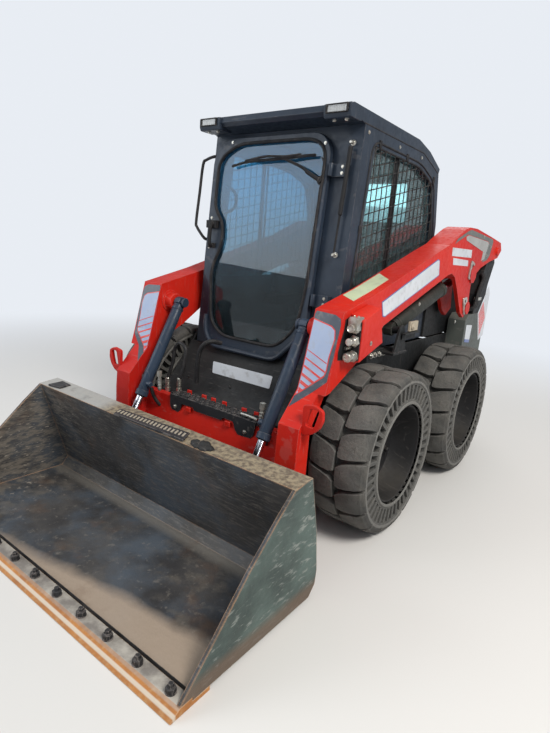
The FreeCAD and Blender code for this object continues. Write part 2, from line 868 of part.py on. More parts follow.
def rear_glass():
    """The rear pane, in the sloping part of the cab's back wall."""
    body = new_body("rear_glass_piece")
    foot = "cab_rear - 9 - cab_wall * 0.5"
    head = "1014 - cab_wall * 0.5"
    pad(body, "rear_pane", outline(body, "rear_pane_outline", "YZ_Plane", (
        (foot, "roof_seam - 378"),
        (head, "roof_seam - 130"),
        (head + " - glass_thickness", "roof_seam - 130"),
        (foot + " - glass_thickness", "roof_seam - 378"),
    )), "2 * rear_window_half", both_ways=True)
    keep(body, "rear_glass")


def work_lamps():
    """The two lamps in the visor's ends."""
    lamp = box("work_lamp", ("cab_half_width - 135", "cab_front_head - visor_reach - 16",
                             "roof_seam + 22"), ("120", "16", "34"))
    keep(pair("work_lamps_both", lamp), "work_lamps")


def seat():
    """The operator's seat: cushion and backrest on a pedestal."""
    cushion = box("seat_cushion", ("-240", "430", "820"), ("480", "460", "110"))
    back = box("seat_back", ("-230", "860", "930"), ("460", "110", "520"))
    keep(fused("seat_piece", [cushion, back]), "seat")
    pedestal = box("seat_stand", ("-260", "440", "frame_bottom + frame_wall"),
                   ("520", "520", "820 - frame_bottom - frame_wall"))
    inside = box("seat_stand_inside", ("-250", "450", "frame_bottom + frame_wall - 10"),
                 ("500", "500", "820 - frame_bottom - frame_wall"))
    keep(cut("seat_pedestal_piece", pedestal, [inside]), "seat_pedestal")


def controls():
    """The arm rests with their control sticks, each side of the seat."""
    rest = box("arm_rest", ("250", "360", "1010"), ("90", "420", "60"))
    post = box("arm_post", ("262", "620", "820"), ("66", "90", "200"))
    foot = box("arm_post_foot", ("260", "600", "790"), ("68", "130", "30"))
    stick = box("control_stick", ("280", "385", "1060"), ("30", "30", "130"))
    keep(pair("controls_both", fused("control_side", [rest, post, foot, stick])), "controls")


# The cab door is drawn upright and then leaned back with the cab's front.

def door_lean():
    return math.degrees(math.atan2(size("cab_front_head") - size("cab_front_foot"),
                                   size("roof_seam") - size("sill_height")))


DOOR_OUTLINE = (
    # x, height above the sill
    ("door_left + 70", "95"),
    ("door_left + 134", "8"),
    ("door_hinge_x - 190", "8"),
    ("door_hinge_x - 22", "185"),
    ("door_hinge_x - 14", "roof_seam - sill_height - 96"),
    ("door_hinge_x - 84", "roof_seam - sill_height - 26"),
    ("door_left + 90", "roof_seam - sill_height - 26"),
    ("door_left", "roof_seam - sill_height - 110"),
    ("door_left", "450"),
    ("door_left + 70", "345"),
)


def inset(points, gap):
    """The same outline pulled in towards its middle by a gap on every side."""
    signs = ((1, 1), (1, 1), (-1, 1), (-1, 1), (-1, -1), (-1, -1), (1, -1), (1, -1), (1, 0), (1, 0))
    moved = []
    for (x, z), (across, up) in zip(points, signs):
        moved.append(("%s + %d * %s" % (x, across, gap), "%s + %d * %s" % (z, up, gap)))
    return tuple(moved)


def place_on_front(body, forward):
    """Sets a piece drawn upright at the sill onto the leaning front of the cab."""
    lean = FreeCAD.Rotation(V(1, 0, 0), -door_lean())
    out = lean.multVec(V(0, -forward, 0))
    base = V(0, size("cab_front_foot") + size("front_axle_y"), size("sill_height")) + out
    body.Placement = FreeCAD.Placement(base, lean)


def cab_door():
    """The glazed door: a thick rim with one large pane."""
    body = new_body("door_frame_piece")
    pad(body, "door_pad", outline(body, "door_outer", "XZ_Plane", DOOR_OUTLINE), "door_thickness")
    pocket(body, "door_light", outline(body, "door_inner", "XZ_Plane",
                                       inset(DOOR_OUTLINE, "door_rim")),
           "4 * door_thickness", both_ways=True)
    place_on_front(body, size("door_gap"))
    keep(body, "door_frame", shifted=False)
    pane = new_body("door_glass_piece")
    pad(pane, "door_pane", outline(pane, "door_pane_outline", "XZ_Plane",
                                   inset(DOOR_OUTLINE, "door_rim")), "glass_thickness")
    place_on_front(pane, size("door_gap") + size("door_thickness") / 2)
    keep(pane, "door_glass", shifted=False)
    handle = new_body("door_handle_piece")
    pad(handle, "handle_pad", outline(handle, "handle_outline", "XZ_Plane", (
        ("door_left + 4", "600"),
        ("door_left + 40", "600"),
        ("door_left + 40", "720"),
        ("door_left + 4", "720"),
    )), "34")
    place_on_front(handle, size("door_gap") + size("door_thickness"))
    keep(handle, "door_handle", shifted=False)


def door_hinges():
    """Two hinges on the left-hand pillar: a leaf and a round knuckle on the door's axis."""
    leaves = []
    for index, share in enumerate((0.27, 0.80)):
        height = share * (size("roof_seam") - size("sill_height"))
        low = "%s * (roof_seam - sill_height)" % share
        leaf = new_body("hinge_leaf_%d" % index)
        pad(leaf, "hinge_leaf_pad_%d" % index, outline(leaf, "hinge_leaf_%d_outline" % index,
            "XZ_Plane", (
                ("door_hinge_x", low),
                ("door_hinge_x + 80", low),
                ("door_hinge_x + 80", low + " + 60"),
                ("door_hinge_x", low + " + 60"),
            )), "26")
        place_on_front(leaf, 0)
        knuckle = DOCUMENT.addObject("Part::Cylinder", "hinge_knuckle_%d" % index)
        bind(knuckle, "Radius", "knuckle_radius")
        bind(knuckle, "Height", "60")
        place_on_front(knuckle, size("door_gap") + size("door_thickness"))
        along = knuckle.Placement.Rotation.multVec(V(0, 0, height))
        knuckle.Placement.Base += V(size("door_hinge_x"), 0, 0) + along
        leaves.append(fused("hinge_%d" % index, [leaf, knuckle]))
    keep(held("door_hinges_both", leaves), "door_hinges", shifted=False)


# Lift arms

ARM = (
    # y behind the front axle, z: along the top, round the tail, back under and down the front leg
    ("tilt_base_y - 66", "tilt_base_z + 96"),
    ("-40", "tilt_base_z + 180"),
    ("690", "tail_pin_z - 50"),
    ("850", "tail_pin_z - 4"),
    ("957", "tail_pin_z + 45"),
    ("1105", "tail_pin_z + 104"),
    ("1190", "tail_pin_z + 124"),
    ("1350", "tail_pin_z + 127"),
    ("tail_pin_y - 170", "tail_pin_z + 92"),
    ("tail_pin_y + 80", "tail_pin_z + 67"),
    ("tail_pin_y + 130", "tail_pin_z + 10"),
    ("tail_pin_y + 50", "tail_pin_z - 50"),
    ("tail_pin_y - 160", "tail_pin_z - 84"),
    ("lift_eye_y + 180", "lift_eye_z + 45"),
    ("lift_eye_y + 56", "lift_eye_z - 14"),
    ("leg_pin_y + 30", "leg_pin_z + 156"),
    ("leg_pin_y + 35", "leg_pin_z + 74"),
    ("leg_pin_y + 62", "leg_pin_z - 17"),
    ("leg_pin_y - 36", "leg_pin_z - 66"),
    ("leg_pin_y - 115", "leg_pin_z - 27"),
    ("1120", "leg_pin_z + 130"),
    ("1030", "leg_pin_z + 218"),
    ("962", "leg_pin_z + 240"),
    ("899", "leg_pin_z + 229"),
    ("52", "tilt_base_z + 9"),
    ("-190", "tilt_base_z - 148"),
    ("-421", "tilt_base_z - 262"),
    ("-459", "tilt_base_z - 268"),
    ("-432", "tilt_base_z - 172"),
)

FRONT_LEG = (
    # y behind the front axle, z: down the leg's rear, round the tool pin and up its front
    ("-300", "tilt_base_z - 190"),
    ("-400", "tilt_base_z - 285"),
    ("-495", "tilt_base_z - 430"),
    ("-495", "tool_pin_z + 195"),
    ("tool_pin_y + 54", "tool_pin_z + 50"),
    ("tool_pin_y + 54", "tool_pin_z - 24"),
    ("tool_pin_y + 24", "tool_pin_z - 54"),
    ("tool_pin_y - 26", "tool_pin_z - 54"),
    ("tool_pin_y - 56", "tool_pin_z - 20"),
    ("tool_pin_y - 54", "tool_pin_z + 60"),
    ("-590", "tool_pin_z + 160"),
    ("-590", "tilt_base_z - 500"),
    ("-584", "tilt_base_z - 405"),
    ("-459", "tilt_base_z - 268"),
)

LEG_SLOT = (
    ("940", "lift_eye_z - 225"),
    ("1030", "lift_eye_z - 40"),
    ("lift_eye_y - 150", "lift_eye_z + 62"),
    ("lift_eye_y + 30", "lift_eye_z + 82"),
    ("lift_eye_y + 158", "lift_eye_z + 82"),
    ("lift_eye_y + 158", "leg_pin_z - 100"),
    ("940", "leg_pin_z - 100"),
)

TAIL_SLOT = (
    ("tail_pin_y - 140", "tail_pin_z - 200"),
    ("tail_pin_y - 110", "tail_pin_z + 140"),
    ("tail_pin_y + 200", "tail_pin_z + 140"),
    ("tail_pin_y + 200", "tail_pin_z - 200"),
)


def lift_arm():
    """One arm: a deep beam, forked at the tail and round the rod, on a narrower front leg."""
    blank = side_plate("arm_blank", ARM, "arm_inner", "arm_width")
    leg = side_plate("front_leg", FRONT_LEG, "arm_inner", "leg_width")
    tools = []
    for name, points in (("leg_slot", LEG_SLOT), ("tail_slot", TAIL_SLOT)):
        tools.append(side_plate(name, points, "arm_inner + arm_plate",
                                "arm_width - 2 * arm_plate"))
    for pin in ("tool_pin", "tail_pin"):
        tools.append(rod_x(pin + "_bore", "arm_inner - 20", pin + "_y", pin + "_z",
                           pin + "_radius + pin_clearance", "arm_width + 40"))
    outer_face = "arm_inner + arm_width"
    leg_boss = boss("leg_boss", outer_face + " - 4", "leg_pin_y", "leg_pin_z", "42", "18")
    eye_boss = boss("eye_boss", outer_face + " - 2", "lift_eye_y", "lift_eye_z", "60", "14")
    forked = cut("arm_forked", fused("arm_whole", [blank, leg]), tools)
    left = fused("left_arm_piece", [forked, leg_boss, eye_boss])
    right = mirrored("right_arm_piece", left)
    keep(left, "left_arm")
    keep(right, "right_arm", shifted=False)


def arm_pins():
    """The pins on which the arms swing."""
    pin = rod_x("tail_pin", "arm_inner - 14", "tail_pin_y", "tail_pin_z", "tail_pin_radius",
                "arm_width + 30")
    keep(pair("arm_pins_both", pin), "arm_pins")


def arm_beam():
    """The cross beam between the front legs, its gussets and the tread plate on it."""
    body = new_body("arm_beam_piece")
    points = (
        ("beam_y", "beam_z"),
        ("beam_y + beam_lean", "beam_z + beam_height"),
        ("beam_y + beam_depth", "beam_z + beam_height"),
        ("beam_y + beam_depth", "beam_z"),
    )
    pad(body, "beam_pad", outline(body, "beam_outline", "YZ_Plane", points),
        "2 * arm_inner", both_ways=True)
    for index, side in enumerate((-1, 1)):
        notch = outline(body, "beam_notch_%d_outline" % index, "XZ_Plane", (
            ("%d * 200 - 45" % side, "beam_z - 10"),
            ("%d * 200 + 45" % side, "beam_z - 10"),
            ("%d * 200 + 30" % side, "beam_z + 50"),
            ("%d * 200 - 30" % side, "beam_z + 50"),
        ))
        pocket(body, "beam_notch_%d" % index, notch, "3000", both_ways=True)
    plate = side_plate("beam_gusset", (
        ("beam_y + 10", "beam_z"),
        ("beam_y - 55", "beam_z + 40"),
        ("beam_y - 70", "beam_z + beam_height - 60"),
        ("beam_y", "beam_z + beam_height"),
        ("beam_y + beam_depth", "beam_z + beam_height"),
        ("beam_y + beam_depth", "beam_z"),
    ), "arm_inner - gusset", "gusset")
    right = mirrored("beam_gusset_right", plate)
    keep(fused("arm_beam_whole", [body, plate, right]), "arm_beam")
    tread = new_body("step_piece")
    pad(tread, "step_pad", outline(tread, "step_outline", "YZ_Plane", (
        ("beam_y + 36", "beam_z + beam_height"),
        ("beam_y + 36", "beam_z + beam_height + 22"),
        ("beam_y + beam_depth + 10", "beam_z + beam_height + 22"),
        ("beam_y + beam_depth + 10", "beam_z + beam_height"),
    )), "640", both_ways=True)
    keep(tread, "step_plate")


def tilt_brackets():
    """The plates inside the arms' knees: each holds a pin, with a cap that keeps the cylinder on."""
    near = "tilt_x - tilt_barrel_radius - moving_gap - 8"
    plate = box("tilt_plate", ("arm_inner - 14", "tilt_base_y - 60", "tilt_base_z - 70"),
                ("14", "150", "130"))
    pin = rod_x("tilt_base_pin", near, "tilt_base_y", "tilt_base_z", "tilt_pin_radius",
                "arm_inner - (%s)" % near)
    cap = boss("tilt_cap", near, "tilt_base_y", "tilt_base_z", "tilt_pin_radius + 8", "8")
    outside = "tilt_x + tilt_barrel_radius + moving_gap + 2"
    outer = boss("tilt_boss", outside, "tilt_base_y", "tilt_base_z", "tilt_pin_radius + 18",
                 "arm_inner - (%s)" % outside)
    keep(pair("tilt_brackets_both", fused("tilt_bracket", [plate, pin, cap, outer])),
         "tilt_brackets")


COUPLERS = (
    # height, length of each fitting in front of its neck
    ("930", "61"),
    ("1000", "55"),
    ("1060", "51"),
)


def coupler_block():
    """The hydraulic cover on the left arm's outer side, with three couplers in front of it."""
    outer_face = "arm_inner + arm_width"
    base = side_plate("coupler_base", (
        ("-304", "1119"),
        ("-305", "900"),
        ("-72", "970"),
        ("-145", "1155"),
    ), outer_face, "10")
    cover = side_plate("coupler_cover", (
        ("-300", "1093"),
        ("-301", "905"),
        ("-78", "975"),
        ("-141", "1145"),
    ), outer_face, "coupler_cover_depth")
    pieces = [base, cover]
    for index, (height, length) in enumerate(COUPLERS):
        middle = outer_face + " + 33"
        pieces.append(box("coupler_neck_%d" % index,
                          (middle + " - coupler_radius / 2", "-300 - coupler_neck",
                           height + " - coupler_radius / 2"),
                          ("coupler_radius", "coupler_neck + 10", "coupler_radius")))
        pieces.append(rod_front("coupler_%d" % index, middle, "-300 - coupler_neck", height,
                                "coupler_radius", length))
    keep(fused("coupler_piece", pieces), "coupler_block")


# Cylinders: each is drawn along +X from its lower pin, then turned to point at its eye.

def eye_outline(centre, radius):
    """An eight-sided eye round a pin that lies across the cylinder's own X axis."""
    near = "%s - (%s)" % (centre, radius)
    far = "%s + (%s)" % (centre, radius)
    bevel = "(%s) * 0.42" % radius
    return (
        (near, "-" + bevel),
        ("%s - %s" % (centre, bevel), "-(%s)" % radius),
        ("%s + %s" % (centre, bevel), "-(%s)" % radius),
        (far, "-" + bevel),
        (far, bevel),
        ("%s + %s" % (centre, bevel), radius),
        ("%s - %s" % (centre, bevel), radius),
        (near, bevel),
    )


def cylinder(name, base, eye, x):
    """A barrel with its base eye, and a rod with its own eye, on each side of the machine."""
    barrel_radius, length, rod = (name + "_barrel_radius", name + "_barrel_length",
                                  name + "_rod_radius")
    eye_radius = name + "_eye_radius"
    pin = name + "_pin_radius"
    run = "sqrt((%s_y - %s_y)^2 + (%s_z - %s_z)^2)" % (eye, base, eye, base)
    reach = "(%s - %s_stroke - 40)" % (length, name)
    bottom = "%s - %s_spare" % (reach, name)
    barrel = new_body(name + "_barrel")
    turned(barrel, name + "_barrel_turned", (
        (eye_radius + " - 8", "0"),
        (eye_radius + " - 8", barrel_radius),
        (length, barrel_radius),
        (length, rod + " + rod_clearance"),
        (bottom, rod + " + rod_clearance"),
        (bottom, "0"),
    ))
    pad(barrel, name + "_base_eye", outline(barrel, name + "_base_eye_outline", "XZ_Plane",
        eye_outline("0", eye_radius)), "2 * (%s) * 0.75" % eye_radius, both_ways=True)
    bore(barrel, name + "_base_bore", pin + " + pin_clearance", "3 * " + eye_radius)
    stem = new_body(name + "_rod")
    turned(stem, name + "_rod_turned", (
        (reach, "0"),
        (reach, rod),
        (run + " - %s + 4" % eye_radius, rod),
        (run + " - %s + 4" % eye_radius, "0"),
    ))
    pad(stem, name + "_rod_eye", outline(stem, name + "_rod_eye_outline", "XZ_Plane",
        eye_outline(run, eye_radius)), "2 * (%s) * 0.75" % eye_radius, both_ways=True)
    rise = math.degrees(math.atan2(size(eye + "_z") - size(base + "_z"),
                                   size(eye + "_y") - size(base + "_y")))
    # The bodies' own X axis is turned into the side view and raised to the cylinder's slope.
    turn = FreeCAD.Rotation(V(1, 0, 0), rise).multiply(FreeCAD.Rotation(V(0, 0, 1), 90))
    place = FreeCAD.Placement(V(number_of(x), size(base + "_y"), size(base + "_z")), turn)
    for body, label in ((barrel, "barrels"), (stem, "rods")):
        body.Placement = place
        keep(pair("%s_%s_both" % (name, label), body), "%s_%s" % (name, label))


# Bucket

FLOOR_TOP = "edge_thickness + bucket_plate"
BACK_FOOT = ("bucket_back - 44", "82")
BACK_HEAD = ("bucket_back - 181", "505")


def back_at(height):
    """Where the rear face of the bucket's leaning back lies at a height, less a welding gap."""
    slope = "((%s) - (%s)) / (%s - %s)" % (BACK_HEAD[0], BACK_FOOT[0], BACK_HEAD[1], BACK_FOOT[1])
    return "(%s) + (%s - %s) * (%s) + 1" % (BACK_FOOT[0], height, BACK_FOOT[1], slope)


def attach_plate():
    """The quick attach frame: a plate, ribs to the bucket's back and ears for pins and rods."""
    rear = "bucket_back + attach_plate"
    plate = box("attach_main", ("-396", "bucket_back", "90"), ("792", "attach_plate", "380"))
    foot = box("attach_foot", ("-712", "bucket_back", "90"), ("1424", "attach_plate", "160"))
    arm_ear = (
        (rear, "tool_pin_z - 70"),
        ("tool_pin_y - 20", "tool_pin_z - 44"),
        ("tool_pin_y + 34", "tool_pin_z - 34"),
        ("tool_pin_y + 46", "tool_pin_z"),
        ("tool_pin_y + 34", "tool_pin_z + 34"),
        ("tool_pin_y - 20", "tool_pin_z + 50"),
        (rear, "tool_pin_z + 80"),
    )
    tilt_ear = (
        (back_at("100"), "100"),
        (rear, "100"),
        ("tilt_eye_y + 16", "tilt_eye_z - 40"),
        ("tilt_eye_y + 34", "tilt_eye_z"),
        ("tilt_eye_y + 10", "tilt_eye_z + 34"),
        ("tilt_eye_y - 60", "tilt_eye_z + 110"),
        (back_at("460"), "460"),
    )
    rib = (
        (back_at("100"), "100"),
        ("bucket_back + 1", "100"),
        ("bucket_back + 1", "460"),
        (back_at("460"), "460"),
    )
    pieces = []
    for index, (points, x, thickness) in enumerate((
        (arm_ear, "arm_inner - moving_gap - 22", "22"),
        (arm_ear, "arm_inner + leg_width + moving_gap", "22"),
        (tilt_ear, "tilt_x - 46", "14"),
        (tilt_ear, "tilt_x + 32", "14"),
        (rib, "130", "12"),
    )):
        pieces.append(side_plate("attach_rib_%d" % index, points, x, thickness))
    pieces.append(rod_x("tool_pin", "arm_inner - moving_gap - 22", "tool_pin_y", "tool_pin_z",
                        "tool_pin_radius", "leg_width + 2 * moving_gap + 44"))
    left = fused("attach_left", pieces)
    right = mirrored("attach_right", left)
    keep(fused("attach_piece", [plate, foot, left, right]), "attach_plate")


def bucket():
    """The bucket in one shell: floor, leaning back, side plates and a boxed ledge on top."""
    body = new_body("bucket_piece")
    side = (
        ("bucket_lip", FLOOR_TOP),
        ("bucket_lip + 140", "175"),
        ("bucket_lip + 292", "340"),
        ("bucket_lip + 433", "bucket_height - 92"),
        ("bucket_lip + 525", "bucket_height - 14"),
        ("bucket_back - 100", "bucket_height"),
        ("bucket_back - 35", "325"),
        ("bucket_back", "123"),
        ("bucket_back - 5", "60"),
        ("bucket_back - 45", "edge_thickness"),
        ("bucket_lip + 56", "edge_thickness"),
        ("bucket_lip + 56", FLOOR_TOP),
    )
    bowl = (
        ("bucket_lip - 200", FLOOR_TOP),
        ("bucket_back - 97", FLOOR_TOP),
        ("bucket_back - 57", "78"),
        ("bucket_back - 100 - ledge_depth", "bucket_height - 14"),
        ("bucket_back - 100 - ledge_depth", "bucket_height + 100"),
        ("bucket_lip - 200", "bucket_height + 100"),
    )
    behind = (
        ("bucket_back - 37", "60"),
        BACK_FOOT,
        (BACK_HEAD[0], "bucket_height - ledge_height"),
        ("bucket_back + 100", "bucket_height - ledge_height"),
        ("bucket_back + 100", "60"),
    )
    pad(body, "bucket_pad", outline(body, "bucket_side_outline", "YZ_Plane", side),
        "2 * bucket_half_width", both_ways=True)
    for name, points in (("bucket_bowl", bowl), ("bucket_behind", behind)):
        pocket(body, name, outline(body, name + "_outline", "YZ_Plane", points),
               "2 * (bucket_half_width - bucket_side)", both_ways=True)
    keep(body, "bucket_shell")


def cutting_edge():
    """The bolted blade: bevelled in front, flush with the floor's top and stepped under it."""
    body = new_body("cutting_edge_piece")
    points = (
        ("bucket_lip - edge_reach", "0"),
        ("bucket_lip - edge_reach + 17", "edge_thickness"),
        ("bucket_lip + 5", FLOOR_TOP),
        ("bucket_lip + 54", FLOOR_TOP),
        ("bucket_lip + 54", "edge_thickness"),
        ("bucket_lip + 130", "edge_thickness"),
        ("bucket_lip + 130", "0"),
    )
    pad(body, "edge_pad", outline(body, "edge_outline", "YZ_Plane", points),
        "2 * bucket_half_width", both_ways=True)
    keep(body, "cutting_edge")


def check():
    """Stops before anything is written if a feature failed or a sub-part isn't a valid shape."""
    bad = [thing.Name for thing in DOCUMENT.Objects
           if "Invalid" in thing.State or "Error" in thing.State]
    if bad:
        raise RuntimeError("failed: " + ", ".join(bad))
    for label, thing in NODES:
        if thing.Shape.isNull() or not thing.Shape.isValid() or not thing.Shape.Solids:
            raise RuntimeError("no valid solid: " + label)


def write():
    os.makedirs("parts", exist_ok=True)
    for label, thing in NODES:
        thing.Shape.exportStep(os.path.join("parts", label + ".step"))


def main():
    fill_sheet()
    tyre = tyre_shape()
    for name, side, axle in WHEELS:
        wheel(tyre, name, side, axle)
    axle_stubs()
    main_frame()
    rear_quarters()
    arm_towers()
    lift_brackets()
    engine()
    hood()
    rear_bumper()
    rear_door()
    rear_lamps()
    cab_shell()
    side_glass()
    side_screens()
    cab_roof()
    rear_glass()
    work_lamps()
    seat()
    controls()
    cab_door()
    door_hinges()
    lift_arm()
    arm_pins()
    arm_beam()
    tilt_brackets()
    coupler_block()
    cylinder("lift", "lift_base", "lift_eye", "arm_inner + arm_width / 2")
    cylinder("tilt", "tilt_base", "tilt_eye", "tilt_x")
    attach_plate()
    bucket()
    cutting_edge()
    DOCUMENT.recompute()
    check()
    write()


main()
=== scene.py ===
"""The looks of a skid steer loader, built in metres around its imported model."""
import json
import math
import bmesh
import bpy
from mathutils import Matrix, Vector


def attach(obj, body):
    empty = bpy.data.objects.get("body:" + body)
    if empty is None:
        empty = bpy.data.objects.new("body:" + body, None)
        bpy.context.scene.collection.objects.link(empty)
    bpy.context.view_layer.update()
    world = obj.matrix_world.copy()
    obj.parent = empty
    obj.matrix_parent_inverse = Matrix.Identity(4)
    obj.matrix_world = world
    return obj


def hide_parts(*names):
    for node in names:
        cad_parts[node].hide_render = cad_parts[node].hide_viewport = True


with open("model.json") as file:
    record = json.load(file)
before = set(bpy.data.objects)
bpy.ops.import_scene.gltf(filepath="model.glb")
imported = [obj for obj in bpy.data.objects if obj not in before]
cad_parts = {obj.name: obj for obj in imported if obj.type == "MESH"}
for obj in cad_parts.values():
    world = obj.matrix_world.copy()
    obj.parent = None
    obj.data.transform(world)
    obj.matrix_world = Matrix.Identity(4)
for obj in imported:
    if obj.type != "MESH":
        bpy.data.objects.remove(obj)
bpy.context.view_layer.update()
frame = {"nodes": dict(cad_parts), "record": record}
NODES = frame["nodes"]

# Camera, light and floor

EYE = (1.761, -2.598, 1.385)
YAW, PITCH, ROLL = 36.46, 13.36, 4.50
LENS = 24.75


def add_camera():
    """The photograph's viewpoint."""
    yaw, pitch, roll = (math.radians(angle) for angle in (YAW, PITCH, ROLL))
    ahead = Vector((-math.sin(yaw) * math.cos(pitch), math.cos(yaw) * math.cos(pitch),
                    -math.sin(pitch)))
    right = Vector((math.cos(yaw), math.sin(yaw), 0))
    up = right.cross(ahead)
    across = right * math.cos(roll) + up * math.sin(roll)
    above = up * math.cos(roll) - right * math.sin(roll)
    place = Matrix((across, above, -ahead)).transposed().to_4x4()
    place.translation = EYE
    data = bpy.data.cameras.new("camera")
    data.sensor_width = 36
    data.lens = LENS
    data.clip_start = 0.05
    camera = bpy.data.objects.new("camera", data)
    camera.matrix_world = place
    bpy.context.collection.objects.link(camera)
    bpy.context.scene.camera = camera


def add_lamp(name, place, target, size, power, colour=(1, 1, 1)):
    data = bpy.data.lights.new(name, "AREA")
    data.shape = "SQUARE"
    data.size = size
    data.energy = power
    data.color = colour
    lamp = bpy.data.objects.new(name, data)
    lamp.location = place
    lamp.rotation_euler = (Vector(target) - Vector(place)).to_track_quat("-Z", "Y").to_euler()
    bpy.context.collection.objects.link(lamp)


def add_world():
    """Pale to the camera and through glass, and an even soft light otherwise."""
    world = bpy.data.worlds.new("world")
    bpy.context.scene.world = world
    world.use_nodes = True
    nodes, links = world.node_tree.nodes, world.node_tree.links
    background = nodes["Background"]
    path = nodes.new("ShaderNodeLightPath")
    seen = nodes.new("ShaderNodeMath")
    seen.operation = "MAXIMUM"
    links.new(path.outputs["Is Camera Ray"], seen.inputs[0])
    links.new(path.outputs["Is Transmission Ray"], seen.inputs[1])
    strength = nodes.new("ShaderNodeMapRange")
    strength.inputs["To Min"].default_value = 0.5
    strength.inputs["To Max"].default_value = 0.9
    links.new(seen.outputs[0], strength.inputs["Value"])
    links.new(strength.outputs[0], background.inputs["Strength"])
    background.inputs["Color"].default_value = (0.90, 0.94, 1.0, 1)


def shade_into_distance(material):
    """Far from the machine the floor takes the background's tone, so no horizon shows."""
    nodes, links = material.node_tree.nodes, material.node_tree.links
    place = nodes.new("ShaderNodeNewGeometry")
    reach = nodes.new("ShaderNodeVectorMath")
    reach.operation = "LENGTH"
    links.new(place.outputs["Position"], reach.inputs[0])
    share = nodes.new("ShaderNodeMapRange")
    share.interpolation_type = "SMOOTHSTEP"
    share.inputs["From Min"].default_value = 2.6
    share.inputs["From Max"].default_value = 7.0
    links.new(reach.outputs["Value"], share.inputs["Value"])
    far = nodes.new("ShaderNodeEmission")
    far.inputs["Color"].default_value = (0.90, 0.94, 1.0, 1)
    far.inputs["Strength"].default_value = 0.9
    both = nodes.new("ShaderNodeMixShader")
    links.new(share.outputs["Result"], both.inputs["Fac"])
    links.new(nodes["Principled BSDF"].outputs["BSDF"], both.inputs[1])
    links.new(far.outputs["Emission"], both.inputs[2])
    links.new(both.outputs["Shader"], nodes["Material Output"].inputs["Surface"])


def add_floor():
    mesh = bpy.data.meshes.new("floor")
    reach = 30
    mesh.from_pydata([(-reach, -reach, 0), (reach, -reach, 0), (reach, reach, 0),
                      (-reach, reach, 0)], [], [(0, 1, 2, 3)])
    floor = bpy.data.objects.new("floor", mesh)
    floor.location.z = -0.001
    bpy.context.collection.objects.link(floor)
    material = bpy.data.materials.new("floor")
    material.use_nodes = True
    shader = material.node_tree.nodes["Principled BSDF"]
    shader.inputs["Base Color"].default_value = (0.66, 0.65, 0.63, 1)
    shader.inputs["Roughness"].default_value = 0.9
    shade_into_distance(material)
    mesh.materials.append(material)


bpy.context.scene.view_settings.view_transform = "Standard"
add_camera()
add_world()
add_floor()
add_lamp("key", (4.5, -2.0, 5.5), (0, 0, 0.8), 2.0, 400, (1.0, 0.96, 0.9))
add_lamp("fill", (-4.0, -4.5, 3.6), (0, 0, 0.8), 4.0, 150, (0.90, 0.95, 1.0))
add_lamp("back", (-1.0, 5.5, 4.0), (0, 0, 1.0), 4.0, 110)


# Materials

